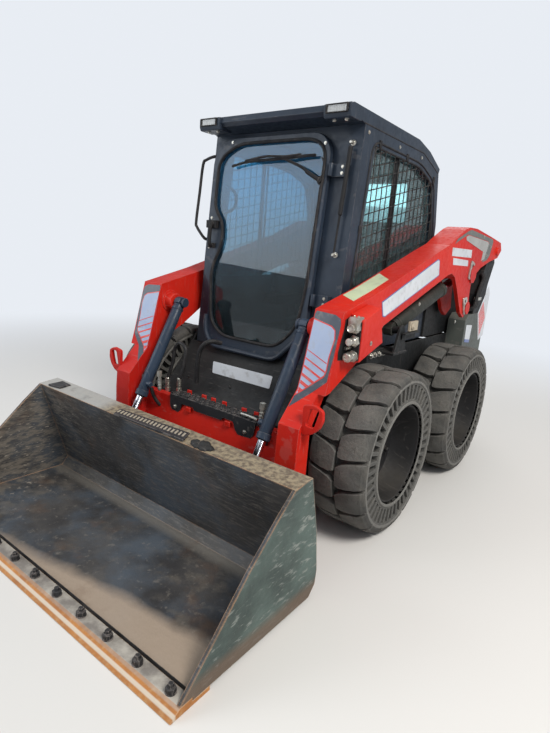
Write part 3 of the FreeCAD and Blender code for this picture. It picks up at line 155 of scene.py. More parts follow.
class Look:
    """A procedural material. Its textures are laid in each piece's own frame, in metres."""

    def __init__(self, name, rough=0.5, metal=0.0, coat=0.0, gloss=0.5):
        self.material = bpy.data.materials.new(name)
        self.material.use_nodes = True
        self.tree = self.material.node_tree
        self.shader = self.tree.nodes["Principled BSDF"]
        self.set(Roughness=rough, Metallic=metal, Coat_Weight=coat, Specular_IOR_Level=gloss)
        self.place = self.tree.nodes.new("ShaderNodeTexCoord").outputs["Object"]

    def set(self, **values):
        for name, value in values.items():
            socket = self.shader.inputs[name.replace("_", " ")]
            if isinstance(value, bpy.types.NodeSocket):
                self.tree.links.new(value, socket)
            else:
                socket.default_value = (*value, 1) if isinstance(value, tuple) else value
        return self

    def node(self, kind, **inputs):
        made = self.tree.nodes.new("ShaderNode" + kind)
        for name, value in inputs.items():
            self.feed(made.inputs[name.replace("_", " ")], value)
        return made

    def feed(self, socket, value):
        if isinstance(value, bpy.types.NodeSocket):
            self.tree.links.new(value, socket)
        elif isinstance(value, tuple) and socket.type == "RGBA":
            socket.default_value = (*value, 1)
        else:
            socket.default_value = value

    def stretched(self, x, y, z, turn=(0, 0, 0)):
        made = self.node("Mapping", Vector=self.place, Scale=(x, y, z))
        made.inputs["Rotation"].default_value = [math.radians(angle) for angle in turn]
        return made.outputs[0]

    def noise(self, scale, low=0.35, high=0.65, detail=6.0, vector=None, rough=0.6):
        """A soft mask from 0 to 1, cut between two levels of a noise."""
        made = self.node("TexNoise", Vector=vector or self.place, Scale=scale, Detail=detail,
                         Roughness=rough)
        return self.span(made.outputs["Fac"], low, high)

    def span(self, value, low, high, start=0.0, end=1.0):
        made = self.node("MapRange", Value=value, From_Min=low, From_Max=high, To_Min=start,
                         To_Max=end)
        return made.outputs[0]

    def math(self, operation, a, b=0.0):
        made = self.tree.nodes.new("ShaderNodeMath")
        made.operation = operation
        self.feed(made.inputs[0], a)
        self.feed(made.inputs[1], b)
        return made.outputs[0]

    def times(self, *masks):
        result = masks[0]
        for mask in masks[1:]:
            result = self.math("MULTIPLY", result, mask)
        return result

    def mix(self, share, a, b):
        made = self.tree.nodes.new("ShaderNodeMix")
        made.data_type = "RGBA"
        self.feed(made.inputs[0], share)
        self.feed(made.inputs[6], a)
        self.feed(made.inputs[7], b)
        return made.outputs[2]

    def axis(self, letter):
        made = self.node("SeparateXYZ", Vector=self.place)
        return made.outputs["XYZ".index(letter)]

    def band(self, value, low, high, soft):
        """1 between two levels of a value, fading out over a soft margin."""
        rise = self.span(value, low - soft, low)
        fall = self.span(value, high, high + soft, 1.0, 0.0)
        return self.times(rise, fall)

    def normal(self, letter):
        made = self.tree.nodes.new("ShaderNodeNewGeometry").outputs["Normal"]
        return self.node("SeparateXYZ", Vector=made).outputs["XYZ".index(letter)]

    def upward(self, low=0.3, high=0.95):
        """1 where a surface faces up, 0 where it is upright."""
        return self.span(self.normal("Z"), low, high)

    def edges(self, radius=0.006, sharp=0.35):
        """1 along the edges of the shape."""
        bevel = self.tree.nodes.new("ShaderNodeBevel")
        bevel.samples = 4
        bevel.inputs["Radius"].default_value = radius
        normal = self.tree.nodes.new("ShaderNodeNewGeometry").outputs["Normal"]
        made = self.tree.nodes.new("ShaderNodeVectorMath")
        made.operation = "DOT_PRODUCT"
        self.tree.links.new(bevel.outputs[0], made.inputs[0])
        self.tree.links.new(normal, made.inputs[1])
        return self.span(made.outputs["Value"], 0.998, 1 - sharp * 0.4)

    def bump(self, height, distance, strength=1.0):
        made = self.node("Bump", Height=height, Distance=distance, Strength=strength)
        return self.set(Normal=made.outputs[0])


def paint(name, colour, other, rough=0.4, dust=0.3, wear=0.4, coat=0.0, gloss=0.4,
          dirt=(0.19, 0.15, 0.11)):
    """Weathered paint: two tones, dust on what faces up, grime in patches, worn edges."""
    look = Look(name, coat=coat, gloss=gloss)
    tone = look.mix(look.noise(2.2), colour, other)
    fine = look.noise(38, 0.42, 0.72, 8)
    speck = look.times(fine, look.noise(5, 0.45, 0.7), 0.35 * wear)
    tone = look.mix(speck, tone, dirt)
    scratch = look.noise(9, 0.62, 0.66, 3, look.stretched(1, 14, 1, (20, 35, 10)))
    tone = look.mix(look.times(scratch, 0.30 * wear), tone, (0.35, 0.31, 0.28))
    lying = look.times(look.upward(), look.noise(7, 0.25, 0.75))
    veil = look.times(look.noise(1.6, 0.4, 0.8), 0.30)
    cover = look.times(look.math("ADD", lying, veil), dust)
    tone = look.mix(cover, tone, dirt)
    chip = look.times(look.edges(0.004), look.noise(26, 0.45, 0.55), wear)
    tone = look.mix(chip, tone, (0.30, 0.26, 0.24))
    look.set(Base_Color=tone)
    look.set(Roughness=look.span(look.math("ADD", cover, fine), 0, 1.6, rough, rough + 0.35))
    look.bump(fine, 0.0005, 0.35)
    return look.material


def black(name, colour, rough=0.45, dust=0.15, wear=0.25, dirt=(0.09, 0.08, 0.075)):
    """Dark satin paint or moulding."""
    other = tuple(part * 1.7 for part in colour)
    return paint(name, colour, other, rough, dust, wear, 0.0, 0.3, dirt)


def tyre_look():
    """Rubber under dried mud: painted shade darkens the grooves, painted light makes the blocks' tops
    paler, and the tops are scuffed.
    """
    look = Look("tyre", rough=0.85, gloss=0.25)
    across = look.math("POWER", look.axis("Y"), 2.0)
    upright = look.math("POWER", look.axis("Z"), 2.0)
    radius = look.math("SQRT", look.math("ADD", across, upright))
    crown = look.span(radius, 0.392, 0.414)
    # Painted shade and light: the dark tone left in the grooves is painted shade; the pale tone on the
    # blocks' tops, broken by noise, is painted light.
    tone = look.mix(look.noise(3), (0.044, 0.044, 0.042), (0.068, 0.067, 0.063))
    pale = look.mix(look.noise(5), (0.098, 0.097, 0.092), (0.150, 0.148, 0.138))
    tone = look.mix(look.times(crown, look.noise(9, 0.2, 0.6), 0.85), tone, pale)
    wall = look.band(radius, 0.25, 0.375, 0.004)
    tone = look.mix(look.times(wall, 0.5), tone, (0.115, 0.115, 0.110))
    # Painted highlight: bright rings on the side's raised lips.
    lip_highlight = look.math("ADD", look.band(radius, 0.2585, 0.273, 0.002),
                     look.band(radius, 0.3675, 0.378, 0.002))
    tone = look.mix(look.times(lip_highlight, 0.55), tone, (0.25, 0.245, 0.23))
    mud = look.noise(14, 0.42, 0.70, 9)
    tone = look.mix(look.times(mud, 0.35), tone, (0.19, 0.175, 0.150))
    fine = look.noise(85, 0.3, 0.7, 6)
    tone = look.mix(look.times(fine, 0.3), tone, (0.045, 0.042, 0.040))
    cut = look.noise(18, 0.64, 0.68, 4, look.stretched(3, 1, 1, (10, 40, 0)))
    tone = look.mix(look.times(cut, crown, 0.7), tone, (0.05, 0.046, 0.042))
    tone = look.mix(look.times(look.edges(0.010), 0.35), tone, (0.22, 0.215, 0.20))
    look.set(Base_Color=tone)
    return look.bump(look.math("ADD", mud, fine), 0.003, 0.6).material


def chrome_look():
    look = Look("rod_chrome", rough=0.12, metal=1.0)
    look.set(Base_Color=look.mix(look.noise(14), (0.80, 0.82, 0.86), (0.62, 0.67, 0.76)))
    look.set(Roughness=look.span(look.noise(40), 0, 1, 0.10, 0.22))
    return look.material


def zinc_look():
    look = Look("pin_zinc", rough=0.38, metal=0.85)
    tone = look.mix(look.noise(30), (0.62, 0.60, 0.53), (0.40, 0.39, 0.36))
    rust = look.times(look.noise(18, 0.52, 0.66), 0.5)
    look.set(Base_Color=look.mix(rust, tone, (0.20, 0.13, 0.08)))
    look.set(Roughness=look.span(rust, 0, 0.6, 0.30, 0.7))
    return look.material


def bucket_look():
    """Steel scoured by soil: a brown floor with painted blue shade, a dusty crease, painted sunlight
    on the floor's front, scratched walls.
    """
    look = Look("bucket_worn", rough=0.55, metal=0.15, gloss=0.35)
    tone = look.mix(look.noise(2.4, 0.4, 0.6), (0.034, 0.033, 0.034), (0.070, 0.066, 0.064))
    # Painted shade: patches of blue, the tint of shade lit by the sky.
    blue = look.times(look.noise(3.0, 0.44, 0.64), 0.7)
    tone = look.mix(blue, tone, (0.080, 0.102, 0.130))
    streak = look.noise(12, 0.50, 0.68, 8, look.stretched(1, 1, 7, (0, 28, 0)))
    streak = look.times(streak, look.noise(2.0, 0.38, 0.6))
    tone = look.mix(look.times(streak, 0.5), tone, (0.17, 0.15, 0.125))
    flat = look.upward(0.85, 0.98)
    nick = look.noise(30, 0.60, 0.68, 5, look.stretched(1, 1, 4, (0, 35, 0)))
    wall = look.span(look.axis("X"), -0.50, -0.82)
    tone = look.mix(look.times(nick, look.math("ADD", 0.25, wall), 0.8), tone, (0.36, 0.32, 0.27))
    cross = look.noise(16, 0.56, 0.68, 6, look.stretched(1, 1, 9, (0, -40, 0)))
    tone = look.mix(look.times(cross, look.span(flat, 0, 1, 0.5, 0.08)), tone,
                    (0.24, 0.215, 0.185))
    inside = look.math("SUBTRACT", 1.0, look.span(look.math("ABSOLUTE", look.axis("X")), 0.868, 0.872))
    rubbed = look.noise(11, 0.44, 0.60, 9, look.stretched(1, 1.3, 5, (38, 0, 0)))
    tone = look.mix(look.times(rubbed, wall, inside, 0.75), tone, (0.20, 0.175, 0.145))
    crease = look.band(look.axis("Y"), -1.125, -1.065, 0.05)
    sloped = look.upward(0.6, 0.74)
    tone = look.mix(look.times(sloped, crease, 0.75), tone, (0.25, 0.23, 0.20))
    # Painted sunlight: a tan patch on the floor's front, its edge slanting across, where sunlight
    # falls.
    front = look.math("ADD", look.times(look.axis("X"), -0.16), look.axis("Y"))
    front = look.math("ADD", front, look.times(look.noise(4, 0.2, 0.8), 0.05))
    lit = look.span(front, -1.56, -1.62)
    tone = look.mix(look.times(flat, lit, 0.8), tone, (0.42, 0.33, 0.25))
    rust = look.noise(4.4, 0.57, 0.72)
    tone = look.mix(look.times(rust, 0.45), tone, (0.13, 0.070, 0.038))
    outer = look.times(look.span(look.math("ABSOLUTE", look.normal("X")), 0.8, 0.95),
                       look.span(look.math("ABSOLUTE", look.axis("X")), 0.868, 0.872))
    green = look.mix(look.noise(3, 0.40, 0.62), (0.050, 0.072, 0.066), (0.105, 0.150, 0.132))
    bare = look.noise(20, 0.56, 0.64, 7, look.stretched(1, 1.0, 3.2, (52, 0, 0)))
    patch = look.times(bare, look.span(look.noise(2.6, 0.38, 0.55), 0, 1))
    green = look.mix(look.times(patch, 0.7), green, (0.34, 0.36, 0.33))
    tone = look.mix(look.times(outer, 0.9), tone, green)
    low = look.times(outer, look.span(look.axis("Z"), 0.10, 0.06))
    tone = look.mix(look.times(low, 0.8), tone, (0.15, 0.10, 0.07))
    top = look.times(look.upward(0.9, 0.99), look.span(look.axis("Z"), 0.535, 0.545))
    earth = look.mix(look.noise(45, 0.42, 0.6), (0.33, 0.27, 0.18), (0.14, 0.11, 0.08))
    pale = look.span(look.axis("X"), -0.25, -0.35)
    earth = look.mix(look.times(pale, 0.85), earth, (0.46, 0.46, 0.44))
    tone = look.mix(look.times(top, look.noise(8, 0.15, 0.4), 0.9), tone, earth)
    bare = look.times(look.edges(0.007), look.noise(14, 0.25, 0.5))
    tone = look.mix(bare, tone, (0.42, 0.25, 0.14))
    look.set(Base_Color=tone)
    look.set(Roughness=look.span(streak, 0, 1, 0.62, 0.42))
    return look.bump(look.math("ADD", streak, look.noise(60)), 0.0012, 0.5).material


def edge_look():
    """The blade: pale worn top behind, an orange band, a bright arris and a rusty bevel."""
    look = Look("edge_steel", rough=0.6, metal=0.15, gloss=0.35)
    tone = look.mix(look.noise(9), (0.48, 0.20, 0.050), (0.33, 0.13, 0.040))
    tone = look.mix(look.times(look.noise(40, 0.5, 0.7), 0.5), tone, (0.52, 0.34, 0.17))
    behind = look.span(look.axis("Y"), -1.748, -1.744)
    strip = look.mix(look.noise(12, 0.4, 0.62), (0.44, 0.41, 0.36), (0.22, 0.20, 0.18))
    tone = look.mix(look.times(behind, look.upward(0.8, 0.95)), tone, strip)
    arris = look.band(look.axis("Y"), -1.764, -1.757, 0.003)
    tone = look.mix(look.times(arris, 0.9), tone, (0.62, 0.54, 0.44))
    bright = look.times(look.edges(0.004), look.noise(8, 0.2, 0.5), 0.7)
    look.set(Base_Color=look.mix(bright, tone, (0.62, 0.50, 0.36)))
    return look.bump(look.noise(80), 0.0008, 0.5).material


def door_glass_look():
    """The door's pane: a painted sky reflection in blue above, clear and smeared with dust below."""
    look = Look("glass_blue", rough=0.0)
    # Painted reflection: higher up the pane turns blue and less clear, for the sky reflected in it.
    high = look.span(look.math("ADD", look.axis("Z"), look.times(look.axis("X"), -0.12)), 1.12, 1.75)
    look.set(Base_Color=look.mix(high, (0.18, 0.25, 0.28), (0.10, 0.33, 0.58)))
    smear = look.times(look.noise(5, 0.5, 0.75, 3), look.span(look.axis("Z"), 1.4, 0.9), 0.1)
    look.set(Transmission_Weight=look.math("SUBTRACT", look.span(high, 0, 1, 0.96, 0.86), smear))
    look.set(IOR=1.45)
    return look.material


def glass_look(name, colour):
    look = Look(name, rough=0.03)
    look.set(Base_Color=colour, Transmission_Weight=0.92, IOR=1.45)
    dust = look.times(look.noise(7, 0.5, 0.8, 8), 0.25)
    look.set(Roughness=look.span(dust, 0, 0.3, 0.03, 0.3))
    return look.material


def lamp_look(name, colour):
    look = Look(name, rough=0.12, coat=0.6)
    flute = look.noise(60, 0.4, 0.6, 2, look.stretched(1, 0.1, 0.1))
    look.set(Base_Color=look.mix(look.times(flute, 0.4), colour, (0.3, 0.3, 0.3)))
    return look.bump(flute, 0.002, 0.5).material


def label_look(name, colour, other, rough=0.35):
    """A printed film: an even tone, a little soiled."""
    look = Look(name, rough=rough, coat=0.2)
    tone = look.mix(look.noise(6, 0.4, 0.7), colour, other)
    grime = look.times(look.noise(24, 0.55, 0.7), 0.35)
    look.set(Base_Color=look.mix(grime, tone, (0.25, 0.22, 0.19)))
    return look.material


def seat_look():
    look = Look("seat_black", rough=0.65, gloss=0.3)
    grain = look.node("TexVoronoi", Vector=look.place, Scale=220.0).outputs["Distance"]
    look.set(Base_Color=look.mix(look.noise(5), (0.018, 0.018, 0.020), (0.035, 0.034, 0.034)))
    return look.bump(grain, 0.0006, 0.6).material


def make_materials():
    made = {}
    made["arm_red"] = paint("arm_red", (0.58, 0.020, 0.008), (0.47, 0.011, 0.008), 0.40, 0.08, 0.4,
                            0.0, 0.18, (0.24, 0.085, 0.055))
    made["frame_black"] = black("frame_black", (0.010, 0.011, 0.012), 0.55, 0.20, 0.30,
                                (0.085, 0.075, 0.062))
    made["cab_black"] = black("cab_black", (0.013, 0.020, 0.032), 0.36, 0.15, 0.3)
    made["trim_black"] = black("trim_black", (0.006, 0.006, 0.007), 0.6)
    made["step_black"] = black("step_black", (0.012, 0.013, 0.015), 0.45, 0.35, 0.8)
    made["barrel_slate"] = black("barrel_slate", (0.016, 0.027, 0.046), 0.32, 0.15, 0.4)
    made["lift_slate"] = black("lift_slate", (0.022, 0.024, 0.020), 0.55, 0.3, 0.4)
    made["engine_grey"] = paint("engine_grey", (0.10, 0.10, 0.10), (0.06, 0.06, 0.06), 0.6, 0.6)
    made["seat_black"] = seat_look()
    made["wire_black"] = black("wire_black", (0.006, 0.007, 0.008), 0.5)
    made["rim_black"] = black("rim_black", (0.008, 0.008, 0.009), 0.55, 0.4, 0.2,
                              (0.085, 0.075, 0.06))
    made["quarter_grey"] = paint("quarter_grey", (0.10, 0.115, 0.105), (0.07, 0.08, 0.075), 0.5, 0.3)
    made["rust_earth"] = paint("rust_earth", (0.17, 0.12, 0.08), (0.10, 0.08, 0.06), 0.8, 0.5, 0.2)
    made["hose_black"] = black("hose_black", (0.008, 0.008, 0.009), 0.5, 0.3, 0.3)
    made["tyre"] = tyre_look()
    made["rod_chrome"] = chrome_look()
    made["pin_zinc"] = zinc_look()
    made["bucket_worn"] = bucket_look()
    made["edge_steel"] = edge_look()
    made["glass_blue"] = door_glass_look()
    made["glass_clear"] = glass_look("glass_clear", (0.50, 0.72, 0.74))
    made["lamp_clear"] = lamp_look("lamp_clear", (0.27, 0.275, 0.27))
    made["lamp_red"] = lamp_look("lamp_red", (0.45, 0.015, 0.012))
    made["film_slate"] = label_look("film_slate", (0.034, 0.044, 0.064), (0.052, 0.062, 0.084))
    made["film_sky"] = label_look("film_sky", (0.27, 0.34, 0.50), (0.34, 0.40, 0.53))
    made["film_red"] = label_look("film_red", (0.62, 0.035, 0.025), (0.50, 0.025, 0.020))
    made["film_white"] = label_look("film_white", (0.60, 0.62, 0.65), (0.50, 0.52, 0.55))
    made["film_grey"] = label_look("film_grey", (0.36, 0.36, 0.34), (0.28, 0.28, 0.27))
    made["film_olive"] = label_look("film_olive", (0.085, 0.090, 0.080), (0.12, 0.125, 0.11))
    made["film_green"] = label_look("film_green", (0.56, 0.62, 0.40), (0.48, 0.54, 0.36))
    made["film_blue"] = label_look("film_blue", (0.06, 0.10, 0.30), (0.08, 0.13, 0.36))
    made["block_tan"] = paint("block_tan", (0.42, 0.36, 0.26), (0.34, 0.30, 0.24), 0.6, 0.3)
    return made


LOOKS = make_materials()

# The carried-over solids

SMOOTH_EDGE = {"rim": 0.004, "bucket": 0.003, "cutting": 0.002}
OWN_LOOKS = {"rear_quarters": "quarter_grey", "lift_barrels": "lift_slate", "arm_pins": "arm_red"}


def dress_nodes():
    """Gives each CAD node its material, and its edges a small round."""
    slots = {row["node"]: row["material_slot"] for row in frame["record"]["subparts"]}
    for name, node in NODES.items():
        node.data.materials.clear()
        node.data.materials.append(LOOKS[OWN_LOOKS.get(name, slots[name])])
        if "screen" in name or "glass" in name:
            continue
        weld = node.modifiers.new("weld", "WELD")
        weld.merge_threshold = 0.00005
        bevel = node.modifiers.new("edge", "BEVEL")
        bevel.width = next((w for part, w in SMOOTH_EDGE.items() if part in name), 0.003)
        bevel.segments = 2
        bevel.limit_method = "ANGLE"
        bevel.angle_limit = math.radians(28)
        bevel.harden_normals = True


dress_nodes()

# Building pieces. Tables give y behind the front axle, as the solid model's source does.

AXLE_Y = -0.290
X, Y, Z = Vector((1, 0, 0)), Vector((0, 1, 0)), Vector((0, 0, 1))


def curve_through(points, steps=6):
    """A smooth line through the given points."""
    spots = [Vector(point) for point in points]
    padded = [spots[0] * 2 - spots[1], *spots, spots[-1] * 2 - spots[-2]]
    line = []
    for a, b, c, d in zip(padded, padded[1:], padded[2:], padded[3:]):
        for step in range(steps):
            t = step / steps
            line.append(0.5 * (2 * b + (c - a) * t + (2 * a - 5 * b + 4 * c - d) * t * t
                               + (3 * b - a - 3 * c + d) * t ** 3))
    return line + [spots[-1]]


class Form:
    """A mesh in the making."""

    def __init__(self):
        self.mesh = bmesh.new()

    def face(self, spots):
        return self.mesh.faces.new([self.mesh.verts.new(spot) for spot in spots])

    def pull(self, spots, offset):
        """A flat outline pulled out into a solid."""
        count = len(spots)
        near = [self.mesh.verts.new(spot) for spot in spots]
        far = [self.mesh.verts.new(Vector(spot) + Vector(offset)) for spot in spots]
        self.mesh.faces.new(near)
        self.mesh.faces.new(list(reversed(far)))
        for index in range(count):
            after = (index + 1) % count
            self.mesh.faces.new((near[after], near[index], far[index], far[after]))
        return self

    def slab(self, points, x, depth):
        """A plate in the side view."""
        return self.pull([(x, y, z) for y, z in points], (depth, 0, 0))

    def front(self, points, y, depth):
        """A plate that faces the front, pulled out forwards."""
        return self.pull([(x, y, z) for x, z in points], (0, -depth, 0))

    def block(self, low, high):
        x, y, z = low
        return self.pull([(x, y, z), (high[0], y, z), (high[0], high[1], z), (x, high[1], z)],
                         (0, 0, high[2] - z))

    def lathe(self, start, along, profile, sides=20):
        """A turned shape from (distance, radius) pairs along a line."""
        along = Vector(along).normalized()
        side = along.orthogonal().normalized()
        other = along.cross(side)
        rings = []
        for distance, radius in profile:
            centre = Vector(start) + along * distance
            if radius < 0.0001:
                rings.append([self.mesh.verts.new(centre)])
                continue
            ring = []
            for index in range(sides):
                angle = 2 * math.pi * index / sides
                spot = centre + (side * math.cos(angle) + other * math.sin(angle)) * radius
                ring.append(self.mesh.verts.new(spot))
            rings.append(ring)
        for ring, after in zip(rings, rings[1:]):
            for index in range(sides):
                to = (index + 1) % sides
                corners = [ring[index % len(ring)], ring[to % len(ring)],
                           after[to % len(after)], after[index % len(after)]]
                unique = list(dict.fromkeys(corners))
                self.mesh.faces.new(unique)
        return self

    def tube(self, line, radius, sides=10):
        """A round bar along a line."""
        line = [Vector(spot) for spot in line]
        side = (line[1] - line[0]).orthogonal().normalized()
        rings = []
        for index, spot in enumerate(line):
            before = line[max(index - 1, 0)]
            after = line[min(index + 1, len(line) - 1)]
            ahead = (after - before).normalized()
            side = (side - ahead * side.dot(ahead)).normalized()
            other = ahead.cross(side)
            reach = radius
            if 0 < index < len(line) - 1:
                turn = (spot - before).normalized().dot((after - spot).normalized())
                reach = radius / max(math.sqrt((1 + max(turn, -0.5)) / 2), 0.6)
            ring = []
            for step in range(sides):
                angle = 2 * math.pi * step / sides
                ring.append(self.mesh.verts.new(
                    spot + (side * math.cos(angle) + other * math.sin(angle)) * reach))
            rings.append(ring)
        for ring, after in zip(rings, rings[1:]):
            for index in range(sides):
                to = (index + 1) % sides
                self.mesh.faces.new((ring[index], ring[to], after[to], after[index]))
        self.mesh.faces.new(list(reversed(rings[0])))
        self.mesh.faces.new(rings[-1])
        return self

    def hex_head(self, spot, along, radius=0.009, height=0.007):
        """A bolt's head on its washer."""
        self.lathe(spot, along, ((0, 0), (0, radius * 1.35), (0.0022, radius * 1.35),
                                 (0.0022, radius * 0.9)), 16)
        return self.lathe(spot, along, ((0.002, radius), (height * 0.85, radius),
                                        (height, radius * 0.82), (height, 0)), 6)

    def fitting(self, start, along, radius=0.011, length=0.05):
        """A hose end: hex nut, neck and crimped sleeve."""
        self.lathe(start, along, ((0, 0), (0, radius * 1.2), (length * 0.28, radius * 1.2),
                                  (length * 0.28, radius * 0.8)), 6)
        ribs = [(length * 0.28, radius * 0.8), (length * 0.40, radius * 0.8)]
        for step in range(4):
            near = length * (0.42 + 0.14 * step)
            ribs += [(near, radius), (near + length * 0.09, radius),
                     (near + length * 0.10, radius * 0.9)]
        return self.lathe(start, along, (*ribs, (length, radius * 0.7)), 16)

    def mirror(self):
        """Adds the same shapes on the other side of the machine."""
        source = list(self.mesh.faces)
        copied = bmesh.ops.duplicate(self.mesh, geom=source)
        verts = [item for item in copied["geom"] if isinstance(item, bmesh.types.BMVert)]
        for vert in verts:
            vert.co.x = -vert.co.x
        faces = [item for item in copied["geom"] if isinstance(item, bmesh.types.BMFace)]
        bmesh.ops.reverse_faces(self.mesh, faces=faces)
        return self

    def done(self, name, look, body, bevel=0.0, smooth=35, shift=AXLE_Y, segments=2):
        """The finished piece, riding on its body."""
        bmesh.ops.recalc_face_normals(self.mesh, faces=self.mesh.faces)
        bmesh.ops.translate(self.mesh, vec=(0, shift, 0), verts=self.mesh.verts)
        data = bpy.data.meshes.new(name)
        self.mesh.to_mesh(data)
        self.mesh.free()
        data.materials.append(LOOKS[look])
        made = bpy.data.objects.new(name, data)
        bpy.context.collection.objects.link(made)
        if bevel:
            edge = made.modifiers.new("edge", "BEVEL")
            edge.width = bevel
            edge.segments = segments
            edge.limit_method = "ANGLE"
            edge.angle_limit = math.radians(30)
            edge.harden_normals = True
        if smooth:
            data.shade_smooth()
            data.set_sharp_from_angle(angle=math.radians(smooth))
        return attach(made, body)


# Wheels

TYRE_RADIUS = 0.419
TREAD_BLOCKS = 18
BLOCK_WIDTH = 0.126
BLOCK_SLANT = 0.26
SIDE_SLOTS = 44
SLOT_ROW = 4
WHEELS = (
    # name, x of the tyre's middle, y of the axle
    ("front_left", 0.7375, -0.290),
    ("front_right", -0.7375, -0.290),
    ("rear_left", 0.7375, 0.782),
    ("rear_right", -0.7375, 0.782),
)


def tread_block(form, side, middle):
    """One block: from the centre line over the shoulder, with rounded plan and sunk sides."""
    section = (
        # distance across, radius, share of the full width
        (0.004, 0.384, 0.80), (0.006, 0.4160, 0.72), (0.030, 0.4185, 0.92), (0.070, 0.4188, 1.0),
        (0.112, 0.4170, 1.0), (0.138, 0.4080, 1.0), (0.1495, 0.3940, 0.98), (0.1518, 0.3760, 0.92),
        (0.150, 0.366, 0.86),
    )
    rows = []
    for across, radius, share in section:
        row = []
        for t in (-0.5, -0.25, 0.0, 0.25, 0.5):
            reach = (BLOCK_WIDTH * share * t + BLOCK_SLANT * across) / TYRE_RADIUS
            angle = middle + reach
            row.append(form.mesh.verts.new(
                (side * across, radius * math.sin(angle), radius * math.cos(angle))))
        rows.append(row)
    for row, after in zip(rows, rows[1:]):
        for index in range(4):
            form.mesh.faces.new((row[index], row[index + 1], after[index + 1], after[index]))
    for column in (0, 4):
        foot = []
        for across, _, share in section:
            reach = (BLOCK_WIDTH * (share + 0.10) * (column / 4 - 0.5)
                     + BLOCK_SLANT * across) / TYRE_RADIUS
            angle = middle + reach
            low = min(0.386, 0.386 - max(0, across - 0.134) * 1.2)
            foot.append(form.mesh.verts.new(
                (side * min(across, 0.1475), low * math.sin(angle), low * math.cos(angle))))
        for index in range(len(rows) - 1):
            form.mesh.faces.new((rows[index][column], rows[index + 1][column], foot[index + 1],
                                 foot[index]))


def carcass(form):
    """The tyre's ring, with a row of slots sunk into each side."""
    half = 0.1525
    profile = [(-half + 0.006, 0.258), (-half, 0.261), (-half, 0.271), (-half + 0.006, 0.275),
               (-half + 0.006, 0.284), (-half + 0.006, 0.358), (-half + 0.005, 0.365),
               (-half, 0.368), (-half + 0.001, 0.377), (-half + 0.014, 0.386)]
    profile += [(-x, r) for x, r in reversed(profile)]
    around = SIDE_SLOTS * 5
    rings = []
    for x, radius in profile:
        ring = []
        for index in range(around):
            angle = 2 * math.pi * index / around
            ring.append(form.mesh.verts.new((x, radius * math.sin(angle),
                                             radius * math.cos(angle))))
        rings.append(ring)
    slots = []
    for row, (ring, after) in enumerate(zip(rings, rings[1:])):
        for index in range(around):
            to = (index + 1) % around
            made = form.mesh.faces.new((ring[index], ring[to], after[to], after[index]))
            if row in (SLOT_ROW, len(profile) - 2 - SLOT_ROW) and index % 5 in (1, 2, 3):
                slots.append(made)
    out = bmesh.ops.extrude_face_region(form.mesh, geom=slots)
    moved = [item for item in out["geom"] if isinstance(item, bmesh.types.BMVert)]
    bmesh.ops.delete(form.mesh, geom=slots, context="FACES")
    for vert in moved:
        radius = math.hypot(vert.co.y, vert.co.z)
        share = (radius + (0.326 - radius) * 0.12) / radius
        vert.co.x -= math.copysign(0.040, vert.co.x)
        vert.co.y *= share
        vert.co.z *= share


def tyre_form():
    form = Form()
    carcass(form)
    pitch = 2 * math.pi / TREAD_BLOCKS
    for side in (-1, 1):
        for index in range(TREAD_BLOCKS):
            tread_block(form, side, pitch * (index + 0.25 * side))
    return form


def rim_form():
    """A deep dished rim with its hub and eight nuts."""
    form = Form()
    form.lathe((0, 0, 0), X, (
        (-0.1325, 0), (-0.1325, 0.2565), (0.120, 0.2565), (0.131, 0.2560), (0.1355, 0.2535),
        (0.1365, 0.2490), (0.1340, 0.2455), (0.1260, 0.2435), (0.0900, 0.2400), (0.0300, 0.2280),
        (0.0000, 0.2150), (-0.0060, 0.2000), (-0.0060, 0.1350), (-0.0120, 0.1250),
        (-0.0120, 0.1120), (0.0060, 0.1080), (0.0100, 0.0900), (0.0160, 0.0880),
        (0.0190, 0.0800), (0.0215, 0.0500), (0.0215, 0),
    ), 72)
    for index in range(8):
        angle = math.pi / 4 * (index + 0.5)
        spot = Vector((-0.006, 0.155 * math.sin(angle), 0.155 * math.cos(angle)))
        form.lathe(spot, X, ((0, 0.022), (0.004, 0.021), (0.004, 0.016), (0.020, 0.0155),
                             (0.024, 0.012), (0.024, 0)), 6)
    for index in range(6):
        angle = math.pi / 3 * index
        spot = Vector((0.0100, 0.097 * math.sin(angle), 0.097 * math.cos(angle)))
        form.hex_head(spot, X, 0.007, 0.008)
    return form


def add_wheels():
    tyre = tyre_form().done("tyre_pattern", "tyre", "front_left_wheel", 0.0055, 40, 0.0)
    rim = rim_form().done("rim_pattern", "rim_black", "front_left_wheel", 0.0015, 35, 0.0)
    tyre_mesh, rim_mesh = tyre.data, rim.data
    for name, x, y in WHEELS:
        for pattern, mesh, part in ((tyre, tyre_mesh, "tyre"), (rim, rim_mesh, "rim")):
            made = bpy.data.objects.new("%s_%s_detail" % (name, part), mesh)
            for source in pattern.modifiers:
                edge = made.modifiers.new("edge", "BEVEL")
                edge.width = source.width
                edge.segments = 2
                edge.limit_method = "ANGLE"
                edge.angle_limit = math.radians(30)
                edge.harden_normals = True
            made.location = (x, y, TYRE_RADIUS)
            made.rotation_euler.z = 0 if x > 0 else math.pi
            bpy.context.collection.objects.link(made)
            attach(made, name + "_wheel")
            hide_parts("%s_%s" % (name, part))
    for pattern in (tyre, rim):
        bpy.data.objects.remove(pattern)


add_wheels()

# Printed films on the arms. The maker's and hirer's words are left off, so the plates are blank.

FACE = (
    # z, y of the arm's front face
    (1.126, -0.366), (0.858, -0.432), (0.762, -0.459), (0.625, -0.584), (0.530, -0.590),
    (0.325, -0.590),
)


def face_y(z):
    for (high, y_high), (low, y_low) in zip(FACE, FACE[1:]):
        if z >= low:
            return y_low + (y_high - y_low) * (z - low) / (high - low)
    return FACE[-1][1]


